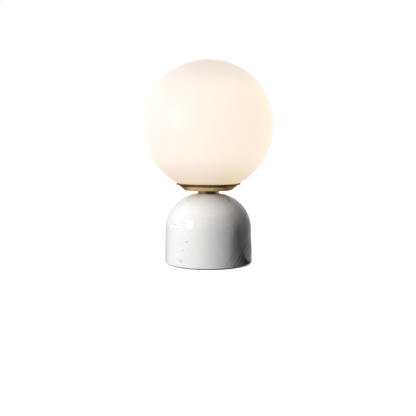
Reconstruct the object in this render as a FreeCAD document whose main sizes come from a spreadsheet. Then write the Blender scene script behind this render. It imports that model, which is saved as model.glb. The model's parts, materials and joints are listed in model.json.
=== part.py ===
import FreeCAD, Part
import math
import os

import Sketcher
from FreeCAD import Placement, Rotation, Vector

# Glass globe table lamp.
#
# A turned marble dome carries a short brass neck and a spun brass gallery. An opal glass
# globe stands in the gallery on a silicone ring, and lifts straight off. Under it a G9
# capsule lamp plugs into a ceramic lampholder. One hollow threaded tube runs from the
# cavity in the stone to the lampholder, and a nut at each joint clamps the stack together.
#
# Frame: millimetres, +Z up, origin on the table at the lamp's axis. The front is -Y, and
# the supply lead enters at the back, +Y.

# ---------------------------------------------------------------- driving dimensions

SIZES = {
    # edges and plays that many pieces share
    "edge_break": 0.4,
    "fine_break": 0.2,
    "fit_play": 0.1,
    "head_play": 0.35,
    "cut_spare": 1.0,
    # foot pad and bottom cover
    "pad_margin": 0.5,
    "pad_thickness": 2.2,
    "cover_thickness": 1.5,
    # stone base
    "stone_lift": 1.0,
    "stone_foot_radius": 50.95,
    "stone_foot_wall": 3.95,
    "stone_draft": 1.5,
    "stone_shoulder_radius": 41.25,
    "stone_apex": 81.6,
    "stone_foot_round": 1.2,
    "insert_hole_spare": 1.0,
    "recess_clearance": 0.5,
    "cavity_radius": 31.0,
    "cavity_depth": 30.3,
    # cord inlet at the back of the stone
    "inlet_height": 15.0,
    "inlet_hole_radius": 5.1,
    "bush_bore_radius": 3.6,
    "bush_flange_radius": 7.0,
    "bush_flange_thickness": 2.2,
    "bush_flange_proud": 0.3,
    "bush_flange_round": 0.8,
    "bush_mouth_round": 0.6,
    "bush_seat_play": 0.2,
    "bush_reach": 3.0,
    "bush_barb_height": 0.7,
    "bush_barb_gap": 0.9,
    "bush_barb_length": 0.6,
    # threaded tube and what clamps on it
    "tube_radius": 5.0,
    "tube_bore_radius": 3.75,
    "tube_tail": 3.0,
    "tube_tip": 1.0,
    "thread_clearance": 0.05,
    "bore_clearance": 0.25,
    "nut_flats": 14.0,
    "nut_height": 4.0,
    "nut_slope_height": 0.6,
    "nut_slope_reach": 8.12,
    "thin_nut_height": 3.0,
    "clamp_pad_radius": 15.0,
    "clamp_pad_thickness": 1.0,
    "clamp_washer_radius": 14.0,
    "clamp_washer_thickness": 2.0,
    "spring_washer_radius": 8.3,
    "spring_washer_thickness": 1.8,
    "spring_washer_turn": 350.0,
    "tag_thickness": 0.8,
    "tag_ring_radius": 7.5,
    "tag_reach": 15.0,
    "tag_overlap": 0.5,
    "tag_tongue_width": 4.0,
    "tag_barrel_length": 4.0,
    "tag_barrel_wall": 0.7,
    "tag_bore_depth": 3.0,
    "end_bush_flange": 1.5,
    "end_bush_overhang": 0.6,
    "end_bush_length": 7.5,
    "end_bush_wall": 0.7,
    # brass neck and gallery
    "neck_radius": 12.5,
    "neck_height": 4.0,
    "neck_edge": 0.5,
    "seat_margin": 0.3,
    "gallery_wall": 0.8,
    "gallery_floor_margin": 0.6,
    "gallery_floor_round": 1.5,
    "gallery_flank_run": 6.1,
    "gallery_band_low": 5.3,
    "gallery_lip_run": 3.7,
    "gallery_lip_thickness": 0.8,
    "gallery_lip_gap": 0.35,
    "gallery_washer_radius": 11.0,
    "gallery_washer_thickness": 1.2,
    # opal globe and the ring it stands on
    "globe_radius": 75.0,
    "globe_wall": 3.0,
    "globe_mouth_radius": 27.0,
    "ring_thickness": 3.1,
    "ring_wall": 2.0,
    "ring_foot_inset": 0.7,
    "ring_overhang": 1.6,
    "ring_collar_height": 6.4,
    "ring_edge": 0.8,
    "ring_play": 0.6,
    "rest_gap": 0.2,
    # stem sleeve and lampholder
    "sleeve_radius": 7.0,
    "sleeve_length": 14.8,
    "cup_radius": 15.0,
    "cup_wall": 0.8,
    "cup_corner": 2.5,
    "bracket_wall": 1.2,
    "bracket_width": 14.0,
    "bracket_half_span": 11.4,
    "bracket_height": 12.2,
    "bracket_lip": 5.2,
    "bracket_bend": 1.6,
    "ceramic_height": 18.0,
    "ceramic_radius": 13.7,
    "ceramic_shoulder": 12.0,
    "ceramic_collar": 2.0,
    "ceramic_collar_round": 0.6,
    "ceramic_foot_round": 0.8,
    "ceramic_nose_round": 1.0,
    "ceramic_nose_radius": 12.2,
    "socket_length": 16.4,
    "socket_width": 8.4,
    "socket_depth": 3.0,
    "socket_round": 1.5,
    "chamber_length": 5.0,
    "chamber_width": 3.4,
    "holder_plate": 2.4,
    "plate_boss_height": 0.6,
    "plate_boss_play": 0.15,
    "pin_pitch": 9.0,
    "holder_screw_pitch": 16.0,
    # contacts and pins
    "leaf_thickness": 0.4,
    "leaf_width": 4.0,
    "leaf_height": 8.6,
    "leaf_flare": 0.4,
    "leaf_clearance": 0.1,
    "tail_length": 5.2,
    "tail_width": 1.4,
    "tail_thickness": 0.5,
    "leaf_mouth": 1.2,
    "pin_wire_radius": 0.5,
    "pin_loop_half": 1.15,
    "pin_length": 10.6,
    # capsule lamp
    "capsule_radius": 8.0,
    "capsule_collar": 11.0,
    "capsule_spigot": 2.0,
    "capsule_slope": 1.4,
    "capsule_gap": 0.3,
    "capsule_socket_play": 0.4,
    "dome_wall": 0.9,
    "dome_height": 38.0,
    "board_width": 9.0,
    "board_thickness": 1.2,
    "board_height": 32.0,
    "chip_size": 2.8,
    "chip_thickness": 0.7,
    "chip_pitch": 5.6,
    "chip_count": 5,
    # small screws: M3
    "screw_radius": 1.5,
    "screw_head_radius": 2.75,
    "screw_head_height": 1.65,
    "screw_head_slope": 0.5,
    "screw_hole_radius": 1.7,
    "head_clearance": 0.6,
    "cover_screw_length": 8.5,
    "insert_radius": 2.8,
    "insert_length": 9.0,
    "insert_glue_gap": 0.1,
    "holder_screw_length": 17.0,
    "holder_head_depth": 3.2,
    # terminal block on the bottom cover
    "block_length": 25.0,
    "block_depth": 14.0,
    "block_height": 11.0,
    "block_near_side": 9.0,
    "block_round": 1.0,
    "block_well_depth": 4.0,
    "block_screw_spare": 0.2,
    "pole_pitch": 8.3,
    "pole_height": 4.5,
    "barrel_radius": 2.2,
    "barrel_bore_radius": 1.5,
    "barrel_end_margin": 1.0,
    "clamp_screw_radius": 1.25,
    "clamp_screw_length": 4.5,
    "clamp_screw_slope": 0.3,
    "clamp_nip": 0.05,
    "clamp_screw_pitch": 7.0,
    "clamp_well_radius": 1.6,
    "well_clearance": 0.1,
    # wiring
    "wire_radius": 1.0,
    "wire_offset": 1.7,
    "wire_strip_in": 3.0,
}


class Size:
    """A length that knows its number and the sheet formula that it comes from."""

    def __init__(self, value, formula):
        self.value = value
        self.formula = formula

    def _with(self, other, sign, number):
        other = as_size(other)
        return Size(number(self.value, other.value), f"({self.formula} {sign} {other.formula})")

    def __add__(self, other):
        return self._with(other, "+", lambda a, b: a + b)

    def __sub__(self, other):
        return self._with(other, "-", lambda a, b: a - b)

    def __mul__(self, other):
        return self._with(other, "*", lambda a, b: a * b)

    def __truediv__(self, other):
        return self._with(other, "/", lambda a, b: a / b)

    def __neg__(self):
        return Size(-self.value, f"(-1 * {self.formula})")

    def __rmul__(self, other):
        return as_size(other) * self

    def __rsub__(self, other):
        return as_size(other) - self


def as_size(value):
    return value if isinstance(value, Size) else Size(float(value), f"({float(value)!r})")


def root(size):
    return Size(math.sqrt(size.value), f"sqrt({size.formula})")


def sine(degrees):
    return Size(math.sin(math.radians(degrees.value)), f"sin({degrees.formula} * 1deg)")


def cosine(degrees):
    return Size(math.cos(math.radians(degrees.value)), f"cos({degrees.formula} * 1deg)")


# ---------------------------------------------------------------- document and sheet

doc = FreeCAD.newDocument("GlobeLamp")
sheet = doc.addObject("Spreadsheet::Sheet", "Sizes")
for row, (alias, number) in enumerate(SIZES.items(), start=1):
    sheet.set(f"A{row}", alias)
    sheet.set(f"B{row}", str(number))
    sheet.setAlias(f"B{row}", alias)
doc.recompute()


def size(alias):
    return Size(float(sheet.get(alias)), f"Sizes.{alias}")


ZERO = as_size(0)
pieces = []


# ---------------------------------------------------------------- drawing helpers

def bind(thing, path, length):
    """Tie one property of an object to its formula."""
    thing.setExpression(path, as_size(length).formula)


def place(thing, x=ZERO, y=ZERO, z=ZERO, rotation=None):
    """Put a piece in the lamp's frame."""
    thing.Placement = Placement(Vector(0, 0, 0), rotation or Rotation())
    for axis, length in (("x", x), ("y", y), ("z", z)):
        bind(thing, f"Placement.Base.{axis}", length)


def new_body(label, **where):
    body = doc.addObject("PartDesign::Body", label)
    body.Label = label
    place(body, **where)
    pieces.append(body)
    return body


def new_sketch(body, plane, x=ZERO, y=ZERO, z=ZERO):
    """A sketch on one of the body's own planes, moved by x, y, z in the sketch's axes."""
    support = next(f for f in body.Origin.OriginFeatures if f.Role == plane)
    sketch = body.newObject("Sketcher::SketchObject", f"{body.Label}_sketch")
    sketch.AttachmentSupport = (support, [""])
    sketch.MapMode = "FlatFace"
    for axis, length in (("x", x), ("y", y), ("z", z)):
        bind(sketch, f"AttachmentOffset.Base.{axis}", length)
    return sketch


def corner(x, y, round=None, arc=None, side=1):
    """One corner of an outline.

    round is the radius that softens it. arc is the radius of the edge that leaves it, and
    side says on which hand its centre lies: 1 is left, -1 is right.
    """
    return {"x": as_size(x), "y": as_size(y), "round": round, "arc": arc, "side": side}


def point_of(step):
    return Vector(step["x"].value, step["y"].value, 0)


def pin(sketch, geometry, end, step):
    """Hold a point of the sketch at a corner's place."""
    for kind, axis, length in (("DistanceX", -2, step["x"]), ("DistanceY", -1, step["y"])):
        if length.value == 0:
            sketch.addConstraint(Sketcher.Constraint("PointOnObject", geometry, end, axis))
            continue
        index = sketch.addConstraint(Sketcher.Constraint(kind, -1, 1, geometry, end, length.value))
        name = f"{kind.lower()}_{index}"
        sketch.renameConstraint(index, name)
        bind(sketch, f"Constraints.{name}", length)


def hold_radius(sketch, geometry, radius):
    index = sketch.addConstraint(Sketcher.Constraint("Radius", geometry, radius.value))
    sketch.renameConstraint(index, f"radius_{index}")
    bind(sketch, f"Constraints.radius_{index}", radius)


def arc_between(start, end, radius, side):
    """An arc, and which of its ends (1 or 2) is the start of the path and which the end."""
    chord = end - start
    to_left = Vector(-chord.y, chord.x, 0).normalize()
    reach = math.sqrt(max(radius ** 2 - (chord.Length / 2) ** 2, 0.0))
    centre = (start + end) * 0.5 + to_left * (side * reach)
    angles = [math.atan2(p.y - centre.y, p.x - centre.x) for p in (start, end)]
    if side < 0:
        angles.reverse()
    if angles[1] < angles[0]:
        angles[1] += 2 * math.pi
    arc = Part.ArcOfCircle(Part.Circle(centre, Vector(0, 0, 1), radius), *angles)
    return arc, (1, 2) if side > 0 else (2, 1)


def draw_outline(sketch, steps):
    """Draw a closed outline whose corners, arcs and rounds are all tied to the sheet."""
    count = len(steps)
    points = [point_of(step) for step in steps]
    leave, reach = list(points), list(points)
    turns = {}
    for i, step in enumerate(steps):
        if step["round"] is None:
            continue
        back = (points[i - 1] - points[i]).normalize()
        ahead = (points[(i + 1) % count] - points[i]).normalize()
        cross = back.cross(ahead).z
        setback = step["round"].value * (1 + back.dot(ahead)) / abs(cross)
        reach[i] = points[i] + back * setback
        leave[i] = points[i] + ahead * setback
        turns[i] = 1 if cross < 0 else -1
    edges = []
    for i, step in enumerate(steps):
        start, end = leave[i], reach[(i + 1) % count]
        if step["arc"] is None:
            edges.append((sketch.addGeometry(Part.LineSegment(start, end), False), (1, 2)))
        else:
            arc, ends = arc_between(start, end, step["arc"].value, step["side"])
            edges.append((sketch.addGeometry(arc, False), ends))
            hold_radius(sketch, edges[-1][0], step["arc"])
    for i, step in enumerate(steps):
        before, after = edges[i - 1], edges[i]
        if step["round"] is None:
            sketch.addConstraint(Sketcher.Constraint(
                "Coincident", before[0], before[1][1], after[0], after[1][0]))
            pin(sketch, after[0], after[1][0], step)
            continue
        arc, ends = arc_between(reach[i], leave[i], step["round"].value, turns[i])
        bend = sketch.addGeometry(arc, False)
        sketch.addConstraint(Sketcher.Constraint("Tangent", before[0], before[1][1], bend, ends[0]))
        sketch.addConstraint(Sketcher.Constraint("Tangent", bend, ends[1], after[0], after[1][0]))
        hold_radius(sketch, bend, step["round"])
        tip = sketch.addGeometry(Part.Point(points[i]), True)
        pin(sketch, tip, 1, step)
        sketch.addConstraint(Sketcher.Constraint("PointOnObject", tip, 1, before[0]))
        sketch.addConstraint(Sketcher.Constraint("PointOnObject", tip, 1, after[0]))


def draw_rectangle(sketch, length, width, x=ZERO, y=ZERO, round=None):
    """A rectangle centred on x, y."""
    left, right = x - length / 2, x + length / 2
    low, high = y - width / 2, y + width / 2
    draw_outline(sketch, [corner(left, low, round), corner(right, low, round),
                          corner(right, high, round), corner(left, high, round)])


def draw_circle(sketch, radius, x=ZERO, y=ZERO):
    centre = Vector(x.value, y.value, 0)
    circle = sketch.addGeometry(Part.Circle(centre, Vector(0, 0, 1), radius.value), False)
    hold_radius(sketch, circle, radius)
    pin(sketch, circle, 3, corner(x, y))


def pad(body, sketch, length, reverse=False, both_ways=False):
    feature = body.newObject("PartDesign::Pad", f"{body.Label}_pad")
    feature.Profile = sketch
    feature.Reversed = reverse
    feature.SideType = "Symmetric" if both_ways else "One side"
    bind(feature, "Length", length)
    doc.recompute()
    return feature


def cut(body, sketch, length, towards_normal=False):
    """Cut a pocket, and make sure that it took something away."""
    volume = body.Shape.Volume
    feature = body.newObject("PartDesign::Pocket", f"{body.Label}_pocket")
    feature.Profile = sketch
    feature.Reversed = towards_normal
    bind(feature, "Length", length)
    doc.recompute()
    if not body.Shape.Volume < volume:
        raise RuntimeError(f"a pocket in {body.Label} cuts nothing")
    return feature


def drill(body, radius, places, length, level=ZERO, upwards=False):
    """Round holes along Z: down from level, or up from it."""
    sketch = new_sketch(body, "XY_Plane", z=level)
    for x, y in places:
        draw_circle(sketch, radius, x, y)
    return cut(body, sketch, length, towards_normal=upwards)


def turn(body, steps, x=ZERO, y=ZERO, angle=None):
    """Turn an outline round the vertical axis that stands at x, y."""
    sketch = new_sketch(body, "XZ_Plane", x=x, z=-y)
    draw_outline(sketch, steps)
    feature = body.newObject("PartDesign::Revolution", f"{body.Label}_turning")
    feature.Profile = sketch
    feature.ReferenceAxis = (sketch, ["V_Axis"])
    if angle is not None:
        bind(feature, "Angle", angle)
    doc.recompute()
    return feature


def turned(label, steps, places=((ZERO, ZERO),), angle=None, **where):
    """A turned piece, or a group of the same turned piece at several places."""
    body = new_body(label, **where)
    for x, y in places:
        turn(body, steps, x, y, angle)
    return body


def ring_outline(inner, outer, height, round=None):
    return [corner(inner, 0), corner(outer, 0, round), corner(outer, height, round),
            corner(inner, height)]


def polar_places(radius, first_angle, count):
    """Evenly spaced places on a circle, each tied to its radius."""
    angles = [math.radians(first_angle + 360.0 * i / count) for i in range(count)]
    return [(radius * round(math.cos(a), 9), radius * round(math.sin(a), 9)) for a in angles]


def bent_path(points, bends=None):
    """Straight runs joined by tangent arcs. Without bends each arc takes what its runs allow."""
    largest_share = 0.45
    edges = []
    start = points[0]
    radii = []
    for i in range(1, len(points) - 1):
        here = points[i]
        back, ahead = points[i - 1] - here, points[i + 1] - here
        shorter = min(back.Length, ahead.Length)
        half_turn = (math.pi - back.getAngle(ahead)) / 2
        radius = bends[i - 1] if bends else largest_share * shorter / math.tan(half_turn)
        setback = radius * math.tan(half_turn)
        back.normalize()
        ahead.normalize()
        first, last = here + back * setback, here + ahead * setback
        middle_line = (back + ahead).normalize()
        middle = here + middle_line * (radius / math.cos(half_turn) - radius)
        if (first - start).Length > 1e-6:
            edges.append(Part.LineSegment(start, first).toShape())
        edges.append(Part.Arc(first, middle, last).toShape())
        radii.append(radius)
        start = last
    if (points[-1] - start).Length > 1e-6:
        edges.append(Part.LineSegment(start, points[-1]).toShape())
    return Part.Wire(edges), radii


def round_bar(points, radius, bends=None):
    """A round bar or wire along a bent path, checked against section times length."""
    path, radii = bent_path(points, bends)
    section = Part.Wire(Part.Circle(points[0], points[1] - points[0], radius).toShape())
    shape = path.makePipeShell([section], True, False)
    expected = math.pi * radius ** 2 * path.Length
    if abs(shape.Volume - expected) > 0.01 * expected:
        raise RuntimeError("a bent bar has the wrong volume")
    return shape, radii


def swept(label, shape):
    """Keep a shape swept along a route in space as a piece."""
    piece = doc.addObject("Part::Feature", label)
    piece.Label = label
    piece.Shape = shape
    piece.Placement = Placement()
    pieces.append(piece)
    return piece


# ---------------------------------------------------------------- levels, from the table up

cover_low = size("pad_thickness")
cover_high = cover_low + size("cover_thickness")
stone_low = size("stone_lift")
cavity_high = cover_high + size("cavity_depth")

# The stone's shoulder is an arc, tangent to the drafted flank. Its crown is spot-faced
# flat under the neck, so the seat lies a little under the arc's apex.
draft = size("stone_draft")
shoulder = size("stone_shoulder_radius")
shoulder_centre_z = size("stone_apex") - shoulder
flank_top_z = shoulder_centre_z + shoulder * sine(draft)
flank_lean = sine(draft) / cosine(draft)
shoulder_centre_x = (size("stone_foot_radius") - (flank_top_z - stone_low) * flank_lean
                     - shoulder * cosine(draft))
flank_top_x = shoulder_centre_x + shoulder * cosine(draft)
stone_seat_radius = size("neck_radius") + size("seat_margin")
seat_reach = stone_seat_radius - shoulder_centre_x
neck_low = shoulder_centre_z + root(shoulder * shoulder - seat_reach * seat_reach)

# Under the stone's ceiling: pad, washer, spring washer, earth tag and nut.
clamp_pad_low = cavity_high - size("clamp_pad_thickness")
clamp_washer_low = clamp_pad_low - size("clamp_washer_thickness")
spring_washer_low = clamp_washer_low - size("spring_washer_thickness")
tag_low = spring_washer_low - size("tag_thickness")
lower_nut_low = tag_low - size("nut_height")
tube_low = lower_nut_low - size("tube_tail")
end_bush_low = tube_low - size("end_bush_flange")

# On top of the stone: neck, gallery, washer, nut, sleeve, cup, bracket and nut.
gallery_low = neck_low + size("neck_height")
gallery_floor = gallery_low + size("gallery_wall")
gallery_nut_low = gallery_floor + size("gallery_washer_thickness")
sleeve_low = gallery_nut_low + size("thin_nut_height")
cup_low = sleeve_low + size("sleeve_length")
bracket_low = cup_low + size("cup_wall")
holder_nut_low = bracket_low + size("bracket_wall")
tube_high = holder_nut_low + size("thin_nut_height") + size("tube_tip")
ceramic_low = bracket_low + size("bracket_height")
ceramic_high = ceramic_low + size("ceramic_height")
socket_floor = ceramic_high - size("socket_depth")
plate_high = ceramic_low + size("holder_plate")
contact_low = plate_high + size("plate_boss_height")

# The globe stands on the silicone ring, by the edge of its mouth. The gallery's lip runs
# out under the glass, a steady gap below it.
globe_low = gallery_floor + size("ring_thickness") + size("rest_gap")
globe_centre = globe_low + root(size("globe_radius") * size("globe_radius")
                                - size("globe_mouth_radius") * size("globe_mouth_radius"))


def lip_top(radius):
    """Height of the lip's upper face over the gallery's underside, at one radius."""
    sphere = size("globe_radius") * size("globe_radius") - radius * radius
    return globe_centre - root(sphere) - size("gallery_lip_gap") - gallery_low


# The capsule lamp stands on the ceramic.
capsule_low = ceramic_high + size("capsule_gap")
nose_low = socket_floor + size("capsule_gap")
dome_low = capsule_low + size("capsule_collar")
board_low = dome_low + size("capsule_spigot")

# ---------------------------------------------------------------- shared radii and places

tube_hole = size("tube_radius") + size("bore_clearance")
nut_hole = size("tube_radius") + size("thread_clearance")
recess_radius = size("stone_foot_radius") - size("stone_foot_wall")
cover_radius = recess_radius - size("recess_clearance")
pad_radius = cover_radius - size("pad_margin")
cover_bolt_radius = (size("cavity_radius") + recess_radius) / 2
screw_clear = size("screw_hole_radius")
screw_tight = size("screw_radius") + size("thread_clearance")
half_pitch = size("pin_pitch") / 2
tail_hole = size("tail_width") / 2 + size("edge_break")
half_pole = size("pole_pitch") / 2
block_middle = size("block_near_side") + size("block_depth") / 2
pole_level = cover_high + size("pole_height")
cover_bolts = polar_places(cover_bolt_radius, 30.0, 3)
holder_bolts = [(ZERO, -size("holder_screw_pitch") / 2), (ZERO, size("holder_screw_pitch") / 2)]
block_bolts = [(-half_pole, block_middle), (half_pole, block_middle)]
pole_places = [-size("pole_pitch"), ZERO, size("pole_pitch")]
clamp_places = [(x, block_middle + size("clamp_screw_pitch") / 2 * side)
                for x in pole_places for side in (-1, 1)]


# ---------------------------------------------------------------- base

def foot_pad():
    """Foam disc glued under the cover, with a hole over each cover screw."""
    body = turned("foot_pad", [corner(0, 0), corner(pad_radius, 0, size("edge_break")),
                               corner(pad_radius, size("pad_thickness")),
                               corner(0, size("pad_thickness"))])
    drill(body, size("screw_head_radius") + size("head_clearance"), cover_bolts,
          size("pad_thickness"), upwards=True)


def base_cover():
    """Steel disc let into the stone's underside."""
    thickness = size("cover_thickness")
    body = turned("base_cover", [corner(0, 0), corner(cover_radius, 0),
                                 corner(cover_radius, thickness, size("edge_break")),
                                 corner(0, thickness)], z=cover_low)
    drill(body, screw_clear, cover_bolts, thickness, upwards=True)
    drill(body, screw_tight, block_bolts, thickness, upwards=True)


def screw_outline(length):
    """A pan-head screw with its head down, its shank up, and z = 0 under the head."""
    shank, head = size("screw_radius"), size("screw_head_radius")
    head_height = size("screw_head_height")
    tip, slope = size("edge_break"), size("screw_head_slope")
    return [corner(0, -head_height), corner(head - slope, -head_height),
            corner(head, slope - head_height), corner(head, 0), corner(shank, 0),
            corner(shank, length - tip), corner(shank - tip, length), corner(0, length)]


def cover_screws():
    turned("cover_screws", screw_outline(size("cover_screw_length")), places=cover_bolts,
           z=cover_low)


def cover_inserts():
    """Brass threaded inserts glued into the stone."""
    turned("cover_inserts", ring_outline(screw_tight, size("insert_radius"),
                                         size("insert_length"), size("fine_break")),
           places=cover_bolts, z=cover_high)


def marble_base():
    """The turned stone: drafted flank, round shoulder, core-drilled from below."""
    bottom = ZERO
    recess_top = cover_high - stone_low
    cavity_top = cavity_high - stone_low
    crown = neck_low - stone_low
    body = turned("marble_base", [
        corner(recess_radius, bottom),
        corner(size("stone_foot_radius"), bottom, size("stone_foot_round")),
        corner(flank_top_x, flank_top_z - stone_low, arc=shoulder),
        corner(stone_seat_radius, crown),
        corner(tube_hole, crown),
        corner(tube_hole, cavity_top),
        corner(size("cavity_radius"), cavity_top),
        corner(size("cavity_radius"), recess_top),
        corner(recess_radius, recess_top)], z=stone_low)
    drill(body, size("insert_radius") + size("insert_glue_gap"), cover_bolts,
          size("insert_length") + size("insert_hole_spare"), level=recess_top, upwards=True)
    inlet = new_sketch(body, "XZ_Plane")
    draw_circle(inlet, size("inlet_hole_radius"), y=size("inlet_height") - stone_low)
    cut(body, inlet, size("stone_foot_radius"))
    seat = new_sketch(body, "XZ_Plane", z=-flange_seat)
    draw_circle(seat, size("bush_flange_radius") + size("bush_seat_play"),
                y=size("inlet_height") - stone_low)
    cut(body, seat, size("stone_foot_radius") - flange_seat + size("cut_spare"))


flange_seat = (size("stone_foot_radius") + size("bush_flange_proud")
               - size("bush_flange_thickness") - (size("inlet_height") - stone_low) * flank_lean)
bush_inner_end = size("cavity_radius") - size("bush_reach")


def cord_inlet_bush():
    """Nylon bush in the stone's back: flange outside, snap barb inside, lead bore through."""
    shank = size("inlet_hole_radius") - size("fit_play")
    barb = shank + size("bush_barb_height")
    shoulder_at = flange_seat - bush_inner_end
    barb_base = size("cavity_radius") - size("bush_barb_gap") - bush_inner_end
    bore = size("bush_bore_radius")
    flange = size("bush_flange_radius")
    whole = shoulder_at + size("bush_flange_thickness")
    turned("cord_inlet_bush", [
        corner(bore, 0), corner(shank - size("fine_break"), 0),
        corner(barb, barb_base - size("bush_barb_length")), corner(barb, barb_base),
        corner(shank, barb_base), corner(shank, shoulder_at), corner(flange, shoulder_at),
        corner(flange, whole, size("bush_flange_round")),
        corner(bore, whole, size("bush_mouth_round"))],
        y=bush_inner_end, z=size("inlet_height"), rotation=Rotation(Vector(1, 0, 0), -90))


# ---------------------------------------------------------------- the clamped stack

def threaded_tube():
    """Hollow M10 x 1 tube that ties the stack together and carries the wires."""
    turned("threaded_tube", ring_outline(size("tube_bore_radius"), size("tube_radius"),
                                         tube_high - tube_low, size("edge_break")), z=tube_low)


def washer(label, outer, thickness, level):
    turned(label, ring_outline(tube_hole, outer, thickness, size("fine_break")), z=level)


def spring_washer():
    turned("spring_washer", ring_outline(tube_hole, size("spring_washer_radius"),
                                         size("spring_washer_thickness")),
           angle=size("spring_washer_turn"), z=spring_washer_low)


def hex_nut(label, height, level):
    """A hexagon bar slice with both rims turned to a slope, and its hole."""
    prism = doc.addObject("Part::Prism", f"{label}_hexagon")
    prism.Polygon = 6
    bind(prism, "Circumradius", size("nut_flats") / root(as_size(3)))
    bind(prism, "Height", height)
    place(prism, z=level)
    across, reach = size("nut_flats") / 2, size("nut_slope_reach")
    slope = size("nut_slope_height")
    blank = turned(f"{label}_blank", [
        corner(nut_hole, 0), corner(across, 0), corner(reach, slope),
        corner(reach, height - slope), corner(across, height), corner(nut_hole, height)],
        z=level)
    pieces.remove(blank)
    nut = doc.addObject("Part::Common", label)
    nut.Label = label
    nut.Base = prism
    nut.Tool = blank
    pieces.append(nut)


def earth_tag():
    """Ring terminal under the lower nut: a ring, a tongue and a crimp barrel."""
    thickness = size("tag_thickness")
    barrel_radius = size("wire_radius") + size("tag_barrel_wall")
    body = turned("earth_tag", ring_outline(tube_hole, size("tag_ring_radius"), thickness),
                  z=tag_low)
    tongue = new_sketch(body, "XY_Plane")
    inner = size("tag_ring_radius") - size("tag_overlap")
    draw_rectangle(tongue, size("tag_reach") - inner, size("tag_tongue_width"),
                   x=(size("tag_reach") + inner) / 2)
    pad(body, tongue, thickness)
    barrel = new_sketch(body, "YZ_Plane", z=size("tag_reach") - size("tag_barrel_length"))
    draw_circle(barrel, barrel_radius, y=-barrel_radius + thickness)
    pad(body, barrel, size("tag_barrel_length"))
    bore = new_sketch(body, "YZ_Plane", z=size("tag_reach"))
    draw_circle(bore, size("wire_radius") + size("fit_play"), y=-barrel_radius + thickness)
    cut(body, bore, size("tag_bore_depth"))


def tube_end_bush():
    """Nylon bush that keeps the tube's lower edge off the wires."""
    flange = size("end_bush_flange")
    outer = size("tube_bore_radius") - size("thread_clearance")
    bore = size("tube_bore_radius") - size("end_bush_wall")
    whole = flange + size("end_bush_length")
    cap = size("tube_radius") + size("end_bush_overhang")
    turned("tube_end_bush", [corner(bore, 0, size("edge_break")), corner(cap, 0),
                             corner(cap, flange), corner(outer, flange),
                             corner(outer, whole), corner(bore, whole)], z=end_bush_low)


def neck_spacer():
    """Turned brass collar between stone and gallery."""
    turned("neck_spacer", ring_outline(tube_hole, size("neck_radius"), size("neck_height"),
                                       size("neck_edge")), z=neck_low)


def gallery_dish():
    """Spun brass gallery: flat floor, sloped flank, short band and a lip that flares out."""
    wall, lip = size("gallery_wall"), size("gallery_lip_thickness")
    floor_x = size("globe_mouth_radius") + size("gallery_floor_margin")
    run, band_z = size("gallery_flank_run"), size("gallery_band_low")
    band_x = floor_x + run
    rim_x = band_x + size("gallery_lip_run")
    slant = root(run * run + band_z * band_z)
    inner_floor_x = floor_x - wall * (slant - run) / band_z
    inner_band_z = band_z + wall * (slant - band_z) / run
    turned("gallery_dish", [
        corner(tube_hole, 0),
        corner(floor_x, 0, size("gallery_floor_round")),
        corner(band_x, band_z),
        corner(band_x, lip_top(band_x) - lip),
        corner(rim_x, lip_top(rim_x) - lip, size("fine_break")),
        corner(rim_x, lip_top(rim_x), size("fine_break")),
        corner(band_x - wall, lip_top(band_x - wall)),
        corner(band_x - wall, inner_band_z),
        corner(inner_floor_x, wall, size("gallery_floor_round") - wall / 2),
        corner(tube_hole, wall)], z=gallery_low)


def globe_ring():
    """Silicone ring: a flat flange under the glass and a collar that centres its mouth."""
    mouth = size("globe_mouth_radius")
    foot, outer = mouth - size("ring_foot_inset"), mouth + size("ring_overhang")
    collar = mouth - size("ring_play")
    inner = collar - size("ring_wall")
    flange, top = size("ring_thickness"), size("ring_collar_height")
    turned("globe_ring", [
        corner(inner, 0), corner(foot, 0), corner(outer, flange),
        corner(collar, flange), corner(collar, top, size("ring_edge")),
        corner(inner, top, size("edge_break"))], z=gallery_floor)


def stem_sleeve():
    """Brass tube over the thread that lifts the lampholder into the globe."""
    turned("stem_sleeve", ring_outline(tube_hole, size("sleeve_radius"), size("sleeve_length"),
                                       size("edge_break")), z=sleeve_low)


# ---------------------------------------------------------------- lampholder

def holder_cup():
    """Drawn cup round the lampholder, closed by the ceramic's collar."""
    wall, outer = size("cup_wall"), size("cup_radius")
    height = ceramic_low + size("ceramic_shoulder") - cup_low
    turned("holder_cup", [
        corner(tube_hole, 0), corner(outer, 0, size("cup_corner")), corner(outer, height),
        corner(outer - wall, height), corner(outer - wall, wall, size("cup_corner") - wall),
        corner(tube_hole, wall)], z=cup_low)


def holder_bracket():
    """Folded steel strip: floor on the tube, two legs, and lips that the screws reach."""
    wall, half = size("bracket_wall"), size("bracket_half_span")
    top, lip = size("bracket_height"), size("bracket_lip")
    bend = size("bracket_bend")
    body = new_body("holder_bracket", z=bracket_low)
    strip = new_sketch(body, "YZ_Plane")
    draw_outline(strip, [
        corner(-half, 0, bend), corner(half, 0, bend), corner(half, top, bend), corner(lip, top),
        corner(lip, top - wall), corner(half - wall, top - wall), corner(half - wall, wall),
        corner(wall - half, wall), corner(wall - half, top - wall), corner(-lip, top - wall),
        corner(-lip, top), corner(-half, top, bend)])
    pad(body, strip, size("bracket_width"), both_ways=True)
    drill(body, tube_hole, [(ZERO, ZERO)], wall, upwards=True)
    drill(body, screw_tight, holder_bolts, wall, level=top)


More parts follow.
